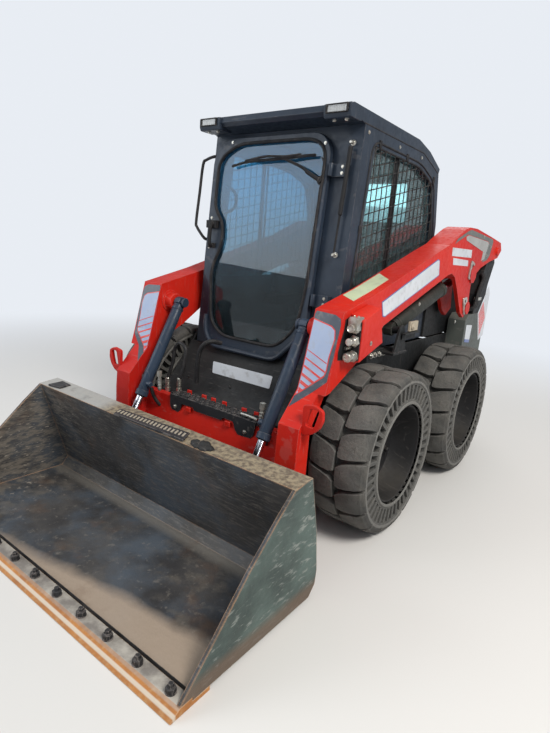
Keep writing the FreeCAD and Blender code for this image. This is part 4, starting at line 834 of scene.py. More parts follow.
def drape(name, look, shapes, lift):
    """Films on both arms' fronts, from outlines in (x, z), bent where the face bends."""
    form = Form()
    for points in shapes:
        form.face([(x, 0, z) for x, z in points])
    for height, _ in FACE[1:-1]:
        everything = form.mesh.verts[:] + form.mesh.edges[:] + form.mesh.faces[:]
        bmesh.ops.bisect_plane(form.mesh, geom=everything, plane_co=(0, 0, height), plane_no=Z)
    for vert in form.mesh.verts:
        vert.co.y = face_y(vert.co.z) - lift
    form.mirror()
    made = form.done(name, look, "lift_arms", smooth=0)
    thick = made.modifiers.new("thick", "SOLIDIFY")
    thick.thickness = 0.0006
    return made


def stripes():
    """Six parallel slanting red stripes that grow thicker downwards."""
    shapes = []
    for index, height in enumerate((0.944, 0.908, 0.874, 0.838, 0.806, 0.774)):
        thick = 0.004 + 0.0029 * index
        ends = []
        for level in (height, height - thick):
            end = min(0.651, 0.537 + (level - 0.745) / 1.291)
            ends.append((end, level - 0.38 * (end - 0.538)))
        shapes.append(((0.538, height), *ends, (0.538, height - thick)))
    return shapes


def front_films():
    slate = [(0.534, 1.104), (0.540, 1.118), (0.640, 1.112), (0.670, 1.098), (0.677, 1.070),
             (0.677, 0.930), (0.672, 0.860), (0.672, 0.822), (0.534, 0.690), (0.534, 0.735)]
    drape("slate_film", "film_slate", [slate], 0.0008)
    sky = [(0.536, 1.078), (0.632, 1.058), (0.652, 1.044), (0.660, 1.008), (0.652, 0.930),
           (0.654, 0.870), (0.648, 0.846), (0.536, 0.744)]
    edge = [(0.534, 1.084), (0.634, 1.063), (0.656, 1.047), (0.665, 1.008), (0.657, 0.930),
            (0.659, 0.868), (0.652, 0.840), (0.534, 0.736)]
    drape("edge_film", "film_red", [edge], 0.0014)
    drape("sky_film", "film_sky", [sky], 0.0020)
    drape("stripe_film", "film_red", stripes(), 0.0026)


ARM_SIDE = 0.680
SIDE_FILMS = (
    # name, material, lift, outline
    ("plate_border", "film_blue", 0.0008, ((-0.006, 1.160), (0.681, 1.385), (0.711, 1.381),
                                           (0.737, 1.291), (0.046, 1.081), (0.022, 1.086))),
    ("plate_white", "film_white", 0.0014, ((0.002, 1.156), (0.682, 1.379), (0.706, 1.376),
                                           (0.730, 1.295), (0.048, 1.087), (0.028, 1.091))),
    ("plate_upper", "film_white", 0.0012, ((0.906, 1.463), (1.302, 1.464), (1.309, 1.411),
                                           (0.912, 1.412))),
    ("plate_lower", "film_white", 0.0012, ((0.945, 1.401), (1.253, 1.393), (1.263, 1.354),
                                           (0.956, 1.358))),
    ("tail_band", "film_olive", 0.0010, ((0.940, 1.485), (0.972, 1.518), (1.173, 1.581),
                                         (1.233, 1.592), (1.755, 1.562), (1.790, 1.545),
                                         (1.745, 1.440), (1.689, 1.405), (1.583, 1.388),
                                         (1.683, 1.530), (1.649, 1.540), (1.167, 1.558),
                                         (0.976, 1.500))),
    ("tail_film", "film_grey", 0.0016, ((1.135, 1.542), (1.191, 1.554), (1.651, 1.536),
                                        (1.676, 1.522), (1.620, 1.410), (1.552, 1.398),
                                        (1.566, 1.462), (1.149, 1.520))),
)


def side_films():
    for name, look, lift, points in SIDE_FILMS:
        form = Form().slab(points, ARM_SIDE, lift)
        form.mirror().done(name, look, "lift_arms", smooth=0)


def top_film():
    """The blank number plate on top of the left arm."""
    bend, height = -0.040, 1.2102
    parts = (
        (0.3014, ((0.541, bend), (0.541, 0.215), (0.634, 0.140), (0.634, bend))),
        (0.2577, ((0.541, -0.150), (0.541, bend), (0.634, bend), (0.634, -0.212))),
    )
    form = Form()
    for slope, corners in parts:
        spots = [(x, y, height + (y - bend) * slope) for x, y in corners]
        form.pull(spots, (0, -0.0003, 0.0010))
    return form.done("top_film", "film_green", "lift_arms", smooth=0)


front_films()
side_films()
top_film()

# Loops in a plane, for rims and lugs

def rounded(points, radius, steps=5):
    """The outline with its corners cut by curves that start a radius away from them."""
    line = []
    count = len(points)
    for index, corner in enumerate(points):
        corner = Vector(corner)
        before = (Vector(points[index - 1]) - corner)
        after = (Vector(points[(index + 1) % count]) - corner)
        near = corner + before.normalized() * min(radius, before.length * 0.45)
        far = corner + after.normalized() * min(radius, after.length * 0.45)
        for step in range(steps + 1):
            t = step / steps
            line.append(near * (1 - t) ** 2 + corner * 2 * t * (1 - t) + far * t * t)
    return line


def by_angle(line, centre, count):
    """The outline met by evenly turned rays from a point inside it."""
    centre = Vector(centre)
    found = []
    for index in range(count):
        angle = 2 * math.pi * index / count
        ray = Vector((math.cos(angle), math.sin(angle)))
        best = 0
        for a, b in zip(line, line[1:] + line[:1]):
            a, b = a - centre, b - centre
            edge = b - a
            bottom = ray.x * edge.y - ray.y * edge.x
            if abs(bottom) < 1e-9:
                continue
            along = (a.x * edge.y - a.y * edge.x) / bottom
            share = (a.x * ray.y - a.y * ray.x) / bottom
            if along > 0 and -1e-6 <= share <= 1 + 1e-6:
                best = max(best, along)
        found.append(centre + ray * best)
    return found


def ring_plate(form, outer, inner, place, near, far):
    """A flat ring between two outlines, from one depth to another."""
    loops = []
    for line, depth in ((outer, near), (inner, near), (inner, far), (outer, far)):
        loops.append([form.mesh.verts.new(place(spot, depth)) for spot in line])
    count = len(outer)
    for here, after in zip(loops, loops[1:] + loops[:1]):
        for index in range(count):
            to = (index + 1) % count
            form.mesh.faces.new((here[index], here[to], after[to], after[index]))


# Cab

SILL_Z, FRONT_FOOT, FRONT_SLOPE = 0.772, -0.110, 0.0824


def on_front(x, z, out):
    """A point that far in front of the cab's leaning front."""
    return Vector((x, FRONT_FOOT + (z - SILL_Z) * FRONT_SLOPE - out, z))


DOOR_EDGE = ((-0.385, 0.867), (-0.321, 0.782), (0.160, 0.782), (0.328, 0.957), (0.336, 1.889),
             (0.266, 1.957), (-0.365, 1.957), (-0.453, 1.875), (-0.453, 1.222), (-0.385, 1.117))
DOOR_LIGHT = ((-0.350, 0.925), (-0.250, 0.850), (0.150, 0.850), (0.272, 0.975), (0.300, 1.180),
              (0.312, 1.870), (0.235, 1.925), (-0.270, 1.925), (-0.410, 1.850), (-0.410, 1.575),
              (-0.335, 1.500), (-0.322, 1.370), (-0.390, 1.235), (-0.368, 1.060))
DOOR_CENTRE = (-0.05, 1.42)
DOOR_STEPS = 120


def door():
    outer = by_angle(rounded(DOOR_EDGE, 0.05), DOOR_CENTRE, DOOR_STEPS)
    inner = by_angle(rounded(DOOR_LIGHT, 0.07), DOOR_CENTRE, DOOR_STEPS)
    form = Form()
    ring_plate(form, outer, inner, lambda spot, out: on_front(spot.x, spot.y, out), 0.040, 0.008)
    rim = form.done("door_rim", "cab_black", "cab_door", 0.004)
    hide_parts("door_frame")
    form = Form()
    form.pull([on_front(spot.x, spot.y, 0.026) for spot in inner], (0, 0.006, -0.0005))
    pane = form.done("door_pane", "glass_blue", "cab_door", smooth=0)
    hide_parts("door_glass")
    seal = [on_front(spot.x, spot.y, 0.041) for spot in inner]
    form = Form().tube(seal + seal[:2], 0.0085)
    form.done("door_seal", "trim_black", "cab_door")
    form = Form()
    lower = [on_front(spot.x * 1.0, spot.y, 0.046) for spot in outer if spot.y < 0.96]
    lower.sort(key=lambda spot: spot.x)
    form.tube(lower, 0.013)
    form.done("door_lower_lip", "cab_black", "cab_door")


def wiper():
    pivot, elbow = (0.300, 1.722), (0.070, 1.832)
    form = Form()
    form.lathe(on_front(*pivot, 0.036), -Y, ((0, 0.022), (0.006, 0.022), (0.008, 0.014),
                                             (0.024, 0.013), (0.026, 0)), 20)
    line = [on_front(*pivot, 0.056), on_front(0.19, 1.785, 0.060), on_front(*elbow, 0.056)]
    form.tube(line, 0.0075, 8)
    form.tube([on_front(*pivot, 0.056), on_front(0.22, 1.764, 0.058)], 0.011, 8)
    form.done("wiper_arm", "trim_black", "cab_door", 0.001)
    form = Form()
    form.tube(curve_through([on_front(-0.300, 1.806, 0.046), on_front(-0.17, 1.826, 0.050),
                             on_front(0.070, 1.834, 0.052), on_front(0.20, 1.842, 0.050),
                             on_front(0.255, 1.843, 0.046)]), 0.0075, 8)
    form.tube(curve_through([on_front(-0.20, 1.829, 0.054), on_front(-0.05, 1.846, 0.062),
                             on_front(0.07, 1.840, 0.064), on_front(0.17, 1.849, 0.056)]),
              0.0065, 8)
    form.done("wiper_blade", "trim_black", "cab_door")
    form = Form()
    form.tube(curve_through([on_front(0.300, 1.722, 0.050), on_front(0.322, 1.760, 0.056),
                             on_front(0.312, 1.805, 0.052), on_front(0.290, 1.832, 0.040)]),
              0.0035, 8)
    form.done("washer_pipe", "trim_black", "cab_door")


def door_fittings():
    form = Form()
    form.tube(curve_through([on_front(-0.392, 1.492, 0.040), on_front(-0.392, 1.486, 0.072),
                             on_front(-0.392, 1.430, 0.078), on_front(-0.392, 1.370, 0.072),
                             on_front(-0.392, 1.360, 0.040)]), 0.0105)
    form.block(on_front(-0.440, 1.462, 0.066), on_front(-0.362, 1.506, 0.038))
    form.block(on_front(-0.430, 1.350, 0.050), on_front(-0.372, 1.378, 0.038))
    handle = form.done("door_grip", "trim_black", "cab_door", 0.003)
    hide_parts("door_handle")
    form = Form()
    for x, z in ((-0.425, 1.520), (-0.425, 1.352), (0.300, 1.90), (-0.32, 1.935)):
        form.hex_head(on_front(x, z, 0.040), -Y, 0.006, 0.005)
    form.done("door_screws", "pin_zinc", "cab_door")


def pillar_strut():
    """The gas strut on the left pillar, and the hinges' screws."""
    top, low = on_front(0.436, 1.900, 0.022), on_front(0.424, 1.366, 0.022)
    along = low - top
    form = Form()
    form.lathe(top, along, ((0.02, 0), (0.02, 0.011), (0.34, 0.011), (0.345, 0.006),
                            (0.345, 0.0055), (along.length - 0.01, 0.0055),
                            (along.length - 0.01, 0)), 14)
    form.done("strut_tube", "trim_black", "chassis")
    form = Form()
    for spot in (top, low):
        form.lathe(spot + Vector((0, 0.022, 0)), -Y, ((0, 0.014), (0.005, 0.014), (0.007, 0.008),
                                                      (0.028, 0.009), (0.034, 0.006), (0.034, 0)),
                   14)
    for z in (1.115, 1.145, 1.757, 1.788):
        form.hex_head(on_front(0.408, z, 0.026), -Y, 0.006, 0.006)
    form.done("pillar_screws", "pin_zinc", "chassis")


def mirror_bar():
    form = Form()
    line = [on_front(-0.462, 1.866, 0.0), on_front(-0.464, 1.866, 0.032),
            on_front(-0.520, 1.850, 0.036), on_front(-0.546, 1.822, 0.036),
            on_front(-0.552, 1.66, 0.036), on_front(-0.558, 1.498, 0.036),
            on_front(-0.545, 1.462, 0.036), on_front(-0.478, 1.402, 0.034),
            on_front(-0.470, 1.396, 0.0)]
    form.tube(curve_through(line, 4), 0.0085)
    form.lathe(on_front(-0.463, 1.866, 0.001), -Y, ((0, 0), (0, 0.018), (0.006, 0.018),
                                                    (0.006, 0.009)), 16)
    form.lathe(on_front(-0.470, 1.396, 0.001), -Y, ((0, 0), (0, 0.018), (0.006, 0.018),
                                                    (0.006, 0.009)), 16)
    form.done("mirror_bar", "trim_black", "chassis")


def inside_grip():
    form = Form()
    form.tube(curve_through([(-0.452, -0.02, 1.722), (-0.43, 0.03, 1.718), (-0.43, 0.10, 1.690),
                             (-0.43, 0.122, 1.640), (-0.43, 0.10, 1.590), (-0.43, 0.03, 1.560),
                             (-0.452, -0.02, 1.555)]), 0.010)
    form.done("inside_grip", "trim_black", "chassis")


SIDE_WINDOW = ((0.110, 1.910), (0.700, 1.905), (0.930, 1.837), (1.015, 1.555), (1.015, 1.180),
               (0.025, 1.180))


def reach(points, axis, value):
    """Lowest and highest place where a line crosses a convex outline."""
    met = []
    for a, b in zip(points, points[1:] + points[:1]):
        if (a[axis] - value) * (b[axis] - value) < 0:
            share = (value - a[axis]) / (b[axis] - a[axis])
            met.append(a[1 - axis] + (b[1 - axis] - a[1 - axis]) * share)
    return min(met), max(met)


def screens():
    """Welded wire in a tube border over each side window, and the pane's sliding joint."""
    form = Form()
    inner = SIDE_WINDOW
    y = 0.075
    while y < 1.0:
        low, high = reach(inner, 0, y)
        form.tube([(0.4815, y, low), (0.4815, y, high)], 0.0030, 6)
        y += 0.057
    rise = 0.24
    sheared = [(spot[0], spot[1] - rise * spot[0]) for spot in inner]
    z = 0.974
    while z < 1.87:
        low, high = reach(sheared, 1, z)
        form.tube([(0.4778, low, z + rise * low), (0.4778, high, z + rise * high)], 0.0030, 6)
        z += 0.058
    loop = [(0.480, spot.x, spot.y) for spot in rounded(SIDE_WINDOW, 0.07)]
    form.tube(loop + loop[:2], 0.0075, 8)
    made = form.mirror().done("wire_screens", "wire_black", "chassis")
    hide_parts("side_screens")
    form = Form()
    loop = [(0.4875, spot.x, spot.y) for spot in rounded(
        ((0.085, 1.930), (0.705, 1.925), (0.945, 1.852), (1.035, 1.558), (1.035, 1.160),
         (0.002, 1.160)), 0.08)]
    form.tube(loop + loop[:2], 0.0055, 8)
    form.block((0.4585, 0.404, 1.182), (0.470, 0.430, 1.905))
    form.block((0.4585, 0.448, 1.182), (0.466, 0.462, 1.905))
    for y, z in ((0.04, 1.50), (0.02, 1.22), (0.16, 1.925), (0.50, 1.922), (0.93, 1.865)):
        form.block((0.484, y - 0.012, z - 0.018), (0.493, y + 0.012, z + 0.018))
    form.mirror().done("window_seals", "trim_black", "chassis", 0.0015)


def visor():
    """Pods round the lamps, the roof's joint and its two raised panels."""
    form = Form()
    form.slab(((-0.158, 2.003), (-0.150, 1.984), (-0.06, 1.984), (-0.02, 2.000), (-0.02, 2.045),
               (-0.135, 2.0495), (-0.158, 2.046)), 0.336, 0.1505)
    form.mirror().done("lamp_pods", "cab_black", "chassis", 0.005)
    form = Form()
    for y_low, y_high in ((0.020, 0.324), (0.427, 0.620)):
        form.slab(((y_low, 2.042), (y_low + 0.008, 2.0508), (y_high - 0.008, 2.0508),
                   (y_high, 2.040)), -0.42, 0.84)
    form.done("roof_panels", "cab_black", "chassis", 0.003)
    form = Form()
    form.tube([(0.4865, -0.015, 1.987), (0.4865, 0.725, 1.985), (0.4865, 0.985, 1.912)], 0.0035, 8)
    form.mirror().done("roof_joint", "trim_black", "chassis")
    form = Form()
    for x in (0.352, 0.472 - 0.008):
        form.block((x, -0.1665, 2.006), (x + 0.008, -0.150, 2.042))
    form.block((0.352, -0.1665, 2.004), (0.472, -0.150, 2.009))
    form.block((0.352, -0.1665, 2.039), (0.472, -0.150, 2.044))
    form.mirror().done("lamp_bezels", "trim_black", "chassis", 0.0015)
    form = Form()
    for x in (0.378, 0.445):
        form.hex_head((x, -0.120, 1.984), -Z, 0.008, 0.009)
    for y in (0.03, 0.39, 0.70):
        form.hex_head((0.487, y, 1.955), X, 0.007, 0.005)
    form.mirror().done("cab_bolts", "pin_zinc", "chassis")


def front_panel():
    """The blank plate, pipe and bolts on the black panel under the door."""
    form = Form().front(rounded(((-0.112, 0.684), (0.286, 0.684), (0.302, 0.752), (-0.110, 0.749)),
                                0.006, 2), -0.3452, 0.0025)
    form.done("front_plate", "film_white", "chassis", smooth=0)
    form = Form()
    form.tube(curve_through([(-0.222, -0.356, 0.600), (-0.218, -0.362, 0.680),
                             (-0.208, -0.362, 0.770), (-0.180, -0.358, 0.828),
                             (-0.150, -0.330, 0.850), (-0.130, -0.270, 0.838)]), 0.013)
    form.done("front_hose", "hose_black", "chassis")
    form = Form()
    for x, z in ((-0.30, 0.62), (0.33, 0.62), (0.02, 0.63)):
        form.hex_head((x, -0.345, z), -Y, 0.008, 0.006)
    form.done("panel_bolts", "frame_black", "chassis")


def seat():
    """Cushion, back and head piece: crowned forms with sunk seams, without a simulation."""
    parts = (
        # name, middle, half size, lean in degrees
        ("seat_cushion", (0, 0.655, 0.905), (0.235, 0.215, 0.062), 5),
        ("seat_back", (0, 0.905, 1.155), (0.225, 0.055, 0.215), -9),
        ("seat_head", (0, 0.925, 1.405), (0.130, 0.040, 0.042), -9),
    )
    for name, middle, half, lean in parts:
        form = Form()
        bmesh.ops.create_cube(form.mesh, size=2)
        bmesh.ops.subdivide_edges(form.mesh, edges=form.mesh.edges[:], cuts=5, use_grid_fill=True)
        turn = Matrix.Rotation(math.radians(lean), 3, "X")
        flat = 1 if half[1] < half[2] else 2
        for vert in form.mesh.verts:
            spot = vert.co.copy()
            others = [spot[k] for k in range(3) if k != flat]
            crown = 1 - 0.22 * (abs(others[0]) ** 4 + abs(others[1]) ** 4)
            seam = 0.86 if abs(abs(others[0]) - 0.667) < 0.05 else 1.0
            scaled = Vector([spot[k] * half[k] for k in range(3)])
            scaled[flat] *= crown * seam
            for k in range(3):
                if k != flat:
                    scaled[k] *= 1 - 0.05 * abs(spot[flat]) ** 2
            vert.co = turn @ scaled + Vector(middle)
        made = form.done(name, "seat_black", "chassis", smooth=60)
        soft = made.modifiers.new("soft", "SUBSURF")
        soft.levels = 2
        soft.render_levels = 2
        if name == "seat_cushion":
            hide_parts("seat")


def sticks():
    """Boots and grips on the arm rests."""
    form = Form()
    profile = ((0.0, 0), (0.0, 0.036), (0.010, 0.034), (0.016, 0.026), (0.024, 0.028),
               (0.030, 0.020), (0.038, 0.022), (0.044, 0.014), (0.060, 0.013), (0.066, 0.019),
               (0.100, 0.022), (0.135, 0.020), (0.150, 0.013), (0.152, 0))
    form.lathe((0.295, 0.40, 1.070), (0, -0.10, 1), profile, 24)
    form.mirror().done("stick_grips", "trim_black", "chassis")


door()
wiper()
door_fittings()
pillar_strut()
mirror_bar()
inside_grip()
screens()
visor()
front_panel()
seat()
sticks()

# Lift arms and what is bolted to them

COUPLERS = (
    # height, profile of (distance, radius) from the cover's face
    (0.930, ((0, 0.0250), (0.012, 0.0250), (0.013, 0.0190), (0.020, 0.0190), (0.021, 0.0225),
             (0.027, 0.0225), (0.028, 0.0190), (0.034, 0.0190), (0.035, 0.0215), (0.062, 0.0215),
             (0.065, 0.0190), (0.066, 0.0140), (0.058, 0.0120), (0.058, 0))),
    (1.000, ((0, 0.0230), (0.014, 0.0230), (0.015, 0.0190), (0.026, 0.0190), (0.030, 0.0150),
             (0.044, 0.0150), (0.045, 0.0175), (0.058, 0.0175), (0.060, 0.0150), (0.060, 0))),
    (1.060, ((0, 0.0260), (0.016, 0.0260), (0.018, 0.0200), (0.030, 0.0200), (0.032, 0.0165),
             (0.040, 0.0165), (0.041, 0.0185), (0.054, 0.0185), (0.056, 0.0160), (0.050, 0.0120),
             (0.050, 0))),
)


def couplers():
    base = ((-0.304, 1.119), (-0.305, 0.900), (-0.072, 0.970), (-0.145, 1.155))
    cover = ((-0.300, 1.093), (-0.301, 0.905), (-0.078, 0.975), (-0.141, 1.145))
    form = Form()
    rings = []
    for x, outline in ((0.6805, base), (0.690, base), (0.745, cover)):
        rings.append([form.mesh.verts.new((x, y, z)) for y, z in outline])
    for ring, after in zip(rings, rings[1:]):
        for index in range(4):
            to = (index + 1) % 4
            form.mesh.faces.new((ring[index], ring[to], after[to], after[index]))
    form.mesh.faces.new(rings[0])
    form.mesh.faces.new(list(reversed(rings[-1])))
    made = form.done("coupler_cover", "arm_red", "lift_arms", 0.003)
    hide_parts("coupler_block")
    # Painted shade: thin black sheets on the box's front and on the arm's side before it stand for the
    # shade of a recess.
    form = Form().front(((0.6835, 0.912), (0.741, 0.912), (0.741, 1.086), (0.728, 1.096),
                         (0.6835, 1.108)), -0.3045, 0.002)
    form.slab(((-0.350, 1.094), (-0.300, 1.112), (-0.300, 0.906), (-0.384, 0.914),
               (-0.388, 0.950), (-0.372, 1.000), (-0.354, 1.050)), 0.6803, 0.0012)
    form.done("coupler_recess_shade", "trim_black", "lift_arms", smooth=0)
    form = Form()
    for height, profile in COUPLERS:
        form.lathe((0.713, -0.302, height), -Y, ((0, 0), *profile), 28)
        form.lathe((0.713, -0.304, height), -Y, ((0, 0.028), (0.008, 0.028), (0.010, 0.020)), 6)
    form.pull([(0.6905, -0.340, 1.052), (0.735, -0.340, 1.052), (0.737, -0.340, 1.098),
               (0.733, -0.338, 1.110), (0.694, -0.338, 1.110), (0.6885, -0.340, 1.098)],
              (0, 0.060, 0))
    for x in (0.702, 0.724):
        form.hex_head((x, -0.312, 1.1095), Z, 0.005, 0.006)
    form.done("coupler_metal", "pin_zinc", "lift_arms", 0.0015)
    form = Form()
    for z in (0.968, 0.938):
        form.lathe((0.692, -0.306, z), (-0.15, -1, -0.1), ((0, 0), (0, 0.010), (0.012, 0.010),
                                                           (0.013, 0.007), (0.026, 0.007),
                                                           (0.027, 0.009), (0.034, 0.008),
                                                           (0.034, 0)), 14)
    form.hex_head((0.7452, -0.205, 0.985), X, 0.0085, 0.004)
    form.done("coupler_small", "pin_zinc", "lift_arms")


def tie_lugs():
    outer = rounded(((0.640, 0.736), (0.700, 0.746), (0.740, 0.728), (0.744, 0.684),
                     (0.728, 0.644), (0.696, 0.614), (0.660, 0.600), (0.640, 0.604)), 0.012)
    hole = rounded(((0.724, 0.726), (0.678, 0.728), (0.658, 0.646), (0.702, 0.644)), 0.012)
    form = Form()
    centre = (0.690, 0.687)
    ring_plate(form, by_angle(outer, centre, 48), by_angle(hole, centre, 48),
               lambda spot, depth: Vector((spot.x, depth, spot.y)), -0.566, -0.546)
    form.mirror().done("tie_lugs", "arm_red", "lift_arms", 0.003)


def step():
    form = Form()
    for index in range(17):
        x = -0.304 + 0.038 * index
        form.block((x - 0.011, -0.463, 0.5415), (x + 0.011, -0.452, 0.549))
        form.block((x - 0.011, -0.411, 0.5415), (x + 0.011, -0.400, 0.549))
        if index < 16:
            form.lathe((x + 0.019, -0.4315, 0.5412), Z, ((0, 0.0125), (0.006, 0.0095),
                                                         (0.006, 0.0075), (0, 0.0075)), 14)
    skirt = ((-0.312, 0.540), (-0.312, 0.474), (-0.296, 0.452), (-0.246, 0.446), (-0.226, 0.466),
             (-0.220, 0.500), (-0.130, 0.503), (-0.120, 0.488), (0.082, 0.488), (0.094, 0.506),
             (0.164, 0.503), (0.178, 0.468), (0.200, 0.444), (0.282, 0.448), (0.302, 0.470),
             (0.312, 0.540))
    form.front(skirt, -0.4645, 0.006)
    form.done("step_grip", "step_black", "lift_arms", 0.0012)
    form = Form()
    for x, z in ((-0.268, 0.474), (0.246, 0.470)):
        form.hex_head((x, -0.4705, z), -Y, 0.009, 0.007)
    form.tube(curve_through([(0.205, -0.455, 0.554), (0.27, -0.46, 0.556), (0.315, -0.462, 0.552)]),
              0.0075)
    form.done("step_bolts", "pin_zinc", "lift_arms")
    form = Form()
    for x in (-0.240, -0.124, -0.052, 0.029, 0.168, 0.252):
        form.block((x - 0.015, -0.396, 0.515), (x + 0.015, -0.386, 0.561))
    for x in (-0.160, 0.130):
        form.block((x - 0.016, -0.478, 0.470), (x + 0.016, -0.468, 0.496))
    form.done("step_tabs", "arm_red", "lift_arms", 0.002)


def front_lines():
    """Hose loops and their crimped ends in front of the frame; clamped, so they stay put."""
    form = Form()
    form.tube(curve_through([(-0.411, -0.405, 0.596), (-0.392, -0.385, 0.697),
                             (-0.388, -0.380, 0.765), (-0.362, -0.378, 0.805),
                             (-0.338, -0.378, 0.812), (-0.308, -0.378, 0.800),
                             (-0.291, -0.380, 0.765), (-0.300, -0.385, 0.690),
                             (-0.314, -0.402, 0.612)]), 0.0105)
    form.tube(curve_through([(0.369, -0.500, 0.545), (0.380, -0.492, 0.500),
                             (0.384, -0.470, 0.455), (0.380, -0.430, 0.430)]), 0.0105)
    form.tube(curve_through([(-0.440, -0.500, 0.548), (-0.425, -0.492, 0.500),
                             (-0.405, -0.470, 0.455), (-0.395, -0.430, 0.430)]), 0.0105)
    form.done("front_hoses", "hose_black", "lift_arms")
    form = Form()
    form.fitting((-0.410, -0.402, 0.520), (-0.004, -0.05, 1), 0.0125, 0.082)
    form.fitting((-0.316, -0.402, 0.536), (0.004, -0.02, 1), 0.0125, 0.082)
    form.done("front_crimps", "pin_zinc", "lift_arms")
    form = Form()
    form.fitting((0.372, -0.500, 0.662), (-0.05, 0.0, -1), 0.0125, 0.112)
    form.mirror().done("tilt_crimps", "pin_zinc", "tilt_barrels")


TILT_TOP, TILT_EYE, TILT_SIDE = Vector((0, -0.300, 1.030)), Vector((0, -0.660, 0.350)), 0.440
LIFT_BASE, LIFT_EYE, LIFT_SIDE = Vector((0, 0.290, 0.992)), Vector((0, 1.390, 1.302)), 0.605


def cylinders():
    along = (TILT_EYE - TILT_TOP).normalized()
    form = Form()
    for distance, length, radius in ((0.036, 0.016, 0.034), (0.548, 0.034, 0.0355)):
        start = TILT_TOP + Vector((TILT_SIDE, 0, 0)) + along * distance
        form.lathe(start, along, ((0, 0.030), (0.002, radius), (length - 0.003, radius),
                                  (length, radius - 0.004), (length, 0.0185)), 28)
    inner = TILT_TOP + Vector((TILT_SIDE - 0.030, -0.006, 0))
    port = inner + along * 0.505
    form.lathe(port + Vector((0.014, 0, 0)), -X, ((0, 0.017), (0.030, 0.017), (0.034, 0.013),
                                                  (0.034, 0)), 18)
    form.mirror().done("tilt_ports", "barrel_slate", "tilt_barrels", 0.001)
    form = Form()
    start = TILT_TOP + Vector((TILT_SIDE, 0, 0)) + along * 0.582
    form.lathe(start, along, ((0, 0.026), (0.003, 0.024), (0.004, 0.0185)), 24)
    form.mirror().done("tilt_wipers", "trim_black", "tilt_barrels")
    form = Form()
    start = LIFT_BASE + Vector((LIFT_SIDE, 0, 0)) + (LIFT_EYE - LIFT_BASE).normalized() * 0.745
    form.lathe(start, LIFT_EYE - LIFT_BASE, ((0, 0.038), (0.005, 0.034), (0.007, 0.0275)), 24)
    form.mirror().done("lift_wipers", "trim_black", "lift_barrels")
    lift = (LIFT_EYE - LIFT_BASE).normalized()
    form = Form()
    for distance, length, radius in ((0.060, 0.020, 0.0465), (0.705, 0.040, 0.0480)):
        start = LIFT_BASE + Vector((LIFT_SIDE, 0, 0)) + lift * distance
        form.lathe(start, lift, ((0, 0.042), (0.003, radius), (length - 0.003, radius),
                                 (length, radius - 0.004), (length, 0.028)), 32)
    form.mirror().done("lift_glands", "lift_slate", "lift_barrels", 0.001)


def pin_bosses():
    """A red boss on the arm's inner side carries each tilt cylinder's dark pin."""
    form = Form()
    form.lathe(TILT_TOP + Vector((0.5300, 0, 0)), -X, (
        (0, 0), (0, 0.062), (0.006, 0.062), (0.008, 0.048), (0.050, 0.045), (0.054, 0.041),
        (0.054, 0)), 36)
    made = form.mirror().done("tilt_bosses", "arm_red", "lift_arms", 0.001)
    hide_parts("tilt_brackets")
    form = Form()
    form.lathe(TILT_TOP + Vector((0.480, 0, 0)), -X, (
        (0, 0), (0, 0.0185), (0.074, 0.0185), (0.076, 0.027), (0.082, 0.0275), (0.086, 0.024),
        (0.086, 0)), 28)
    form.mirror().done("tilt_pins", "barrel_slate", "lift_arms", 0.001)


def arm_plates():
    """Keeper plates in the tail, with dark discs painted for the shade in their holes, and the arm's
    small bolts.
    """
    shapes = (((1.317, 1.396), (1.397, 1.377), (1.358, 1.261), (1.296, 1.272)),
              ((1.257, 1.137), (1.342, 1.145), (1.395, 1.024), (1.318, 1.021)))
    form = Form()
    holes = Form()
    for shape in shapes:
        form.slab(rounded(shape, 0.014, 3), 0.680, 0.009)
        for share in (0.22, 0.5, 0.78):
            top = (Vector(shape[0]) + Vector(shape[1])) / 2
            low = (Vector(shape[2]) + Vector(shape[3])) / 2
            y, z = top + (low - top) * share
            # Painted shade: a flat dark disc for each hole.
            holes.lathe((0.6885, y, z), X, ((0, 0), (0, 0.0105), (0.0012, 0.0100), (0.0012, 0)), 16)
    form.mirror().done("keeper_plates", "pin_zinc", "lift_arms", 0.001)
    holes.mirror().done("keeper_hole_shade", "trim_black", "lift_arms")
    form = Form()
    for y, z in ((1.174, 0.981), (0.485, 1.13), (1.735, 1.505), (1.66, 1.44), (1.53, 1.565)):
        form.hex_head((0.6802, y, z), X, 0.008, 0.006)
    form.mirror().done("arm_bolts", "pin_zinc", "lift_arms")
    form = Form().slab(((1.157, 1.249), (1.331, 1.266), (1.365, 1.237), (1.190, 1.218)),
                       0.5552, 0.0012)
    form.done("inner_label", "film_white", "lift_arms", smooth=0)


def valve_block():
    """The tan valve on its shelf on the lift bracket, and the port block under the arm."""
    form = Form().block((0.6885, 0.345, 0.985), (0.7035, 0.455, 1.040))
    form.lathe((0.703, 0.372, 1.012), X, ((0, 0), (0, 0.019), (0.006, 0.019), (0.008, 0.012),
                                          (0.014, 0.012), (0.014, 0)), 20)
    form.done("valve_tan", "block_tan", "chassis", 0.003)
    form = Form()
    form.block((0.6885, 0.270, 0.972), (0.712, 0.470, 0.982))
    form.block((0.6885, 0.280, 0.940), (0.692, 0.460, 0.974))
    form.done("valve_shelf", "frame_black", "chassis", 0.002)
    form = Form()
    form.block((0.505, 0.072, 0.800), (0.600, 0.275, 0.884))
    form.done("port_block", "frame_black", "chassis", 0.004)
    form = Form()
    for y in (0.100, 0.144, 0.196, 0.246):
        form.lathe((0.600, y, 0.860), X, ((0, 0), (0, 0.017), (0.010, 0.017), (0.010, 0.012),
                                          (0.018, 0.012), (0.020, 0.009), (0.020, 0)), 6)
    form.done("port_nuts", "pin_zinc", "chassis", 0.001)


arms_made = (couplers, tie_lugs, step, front_lines, cylinders, pin_bosses, arm_plates, valve_block)
for make in arms_made:
    make()


# Frame, rear and hood

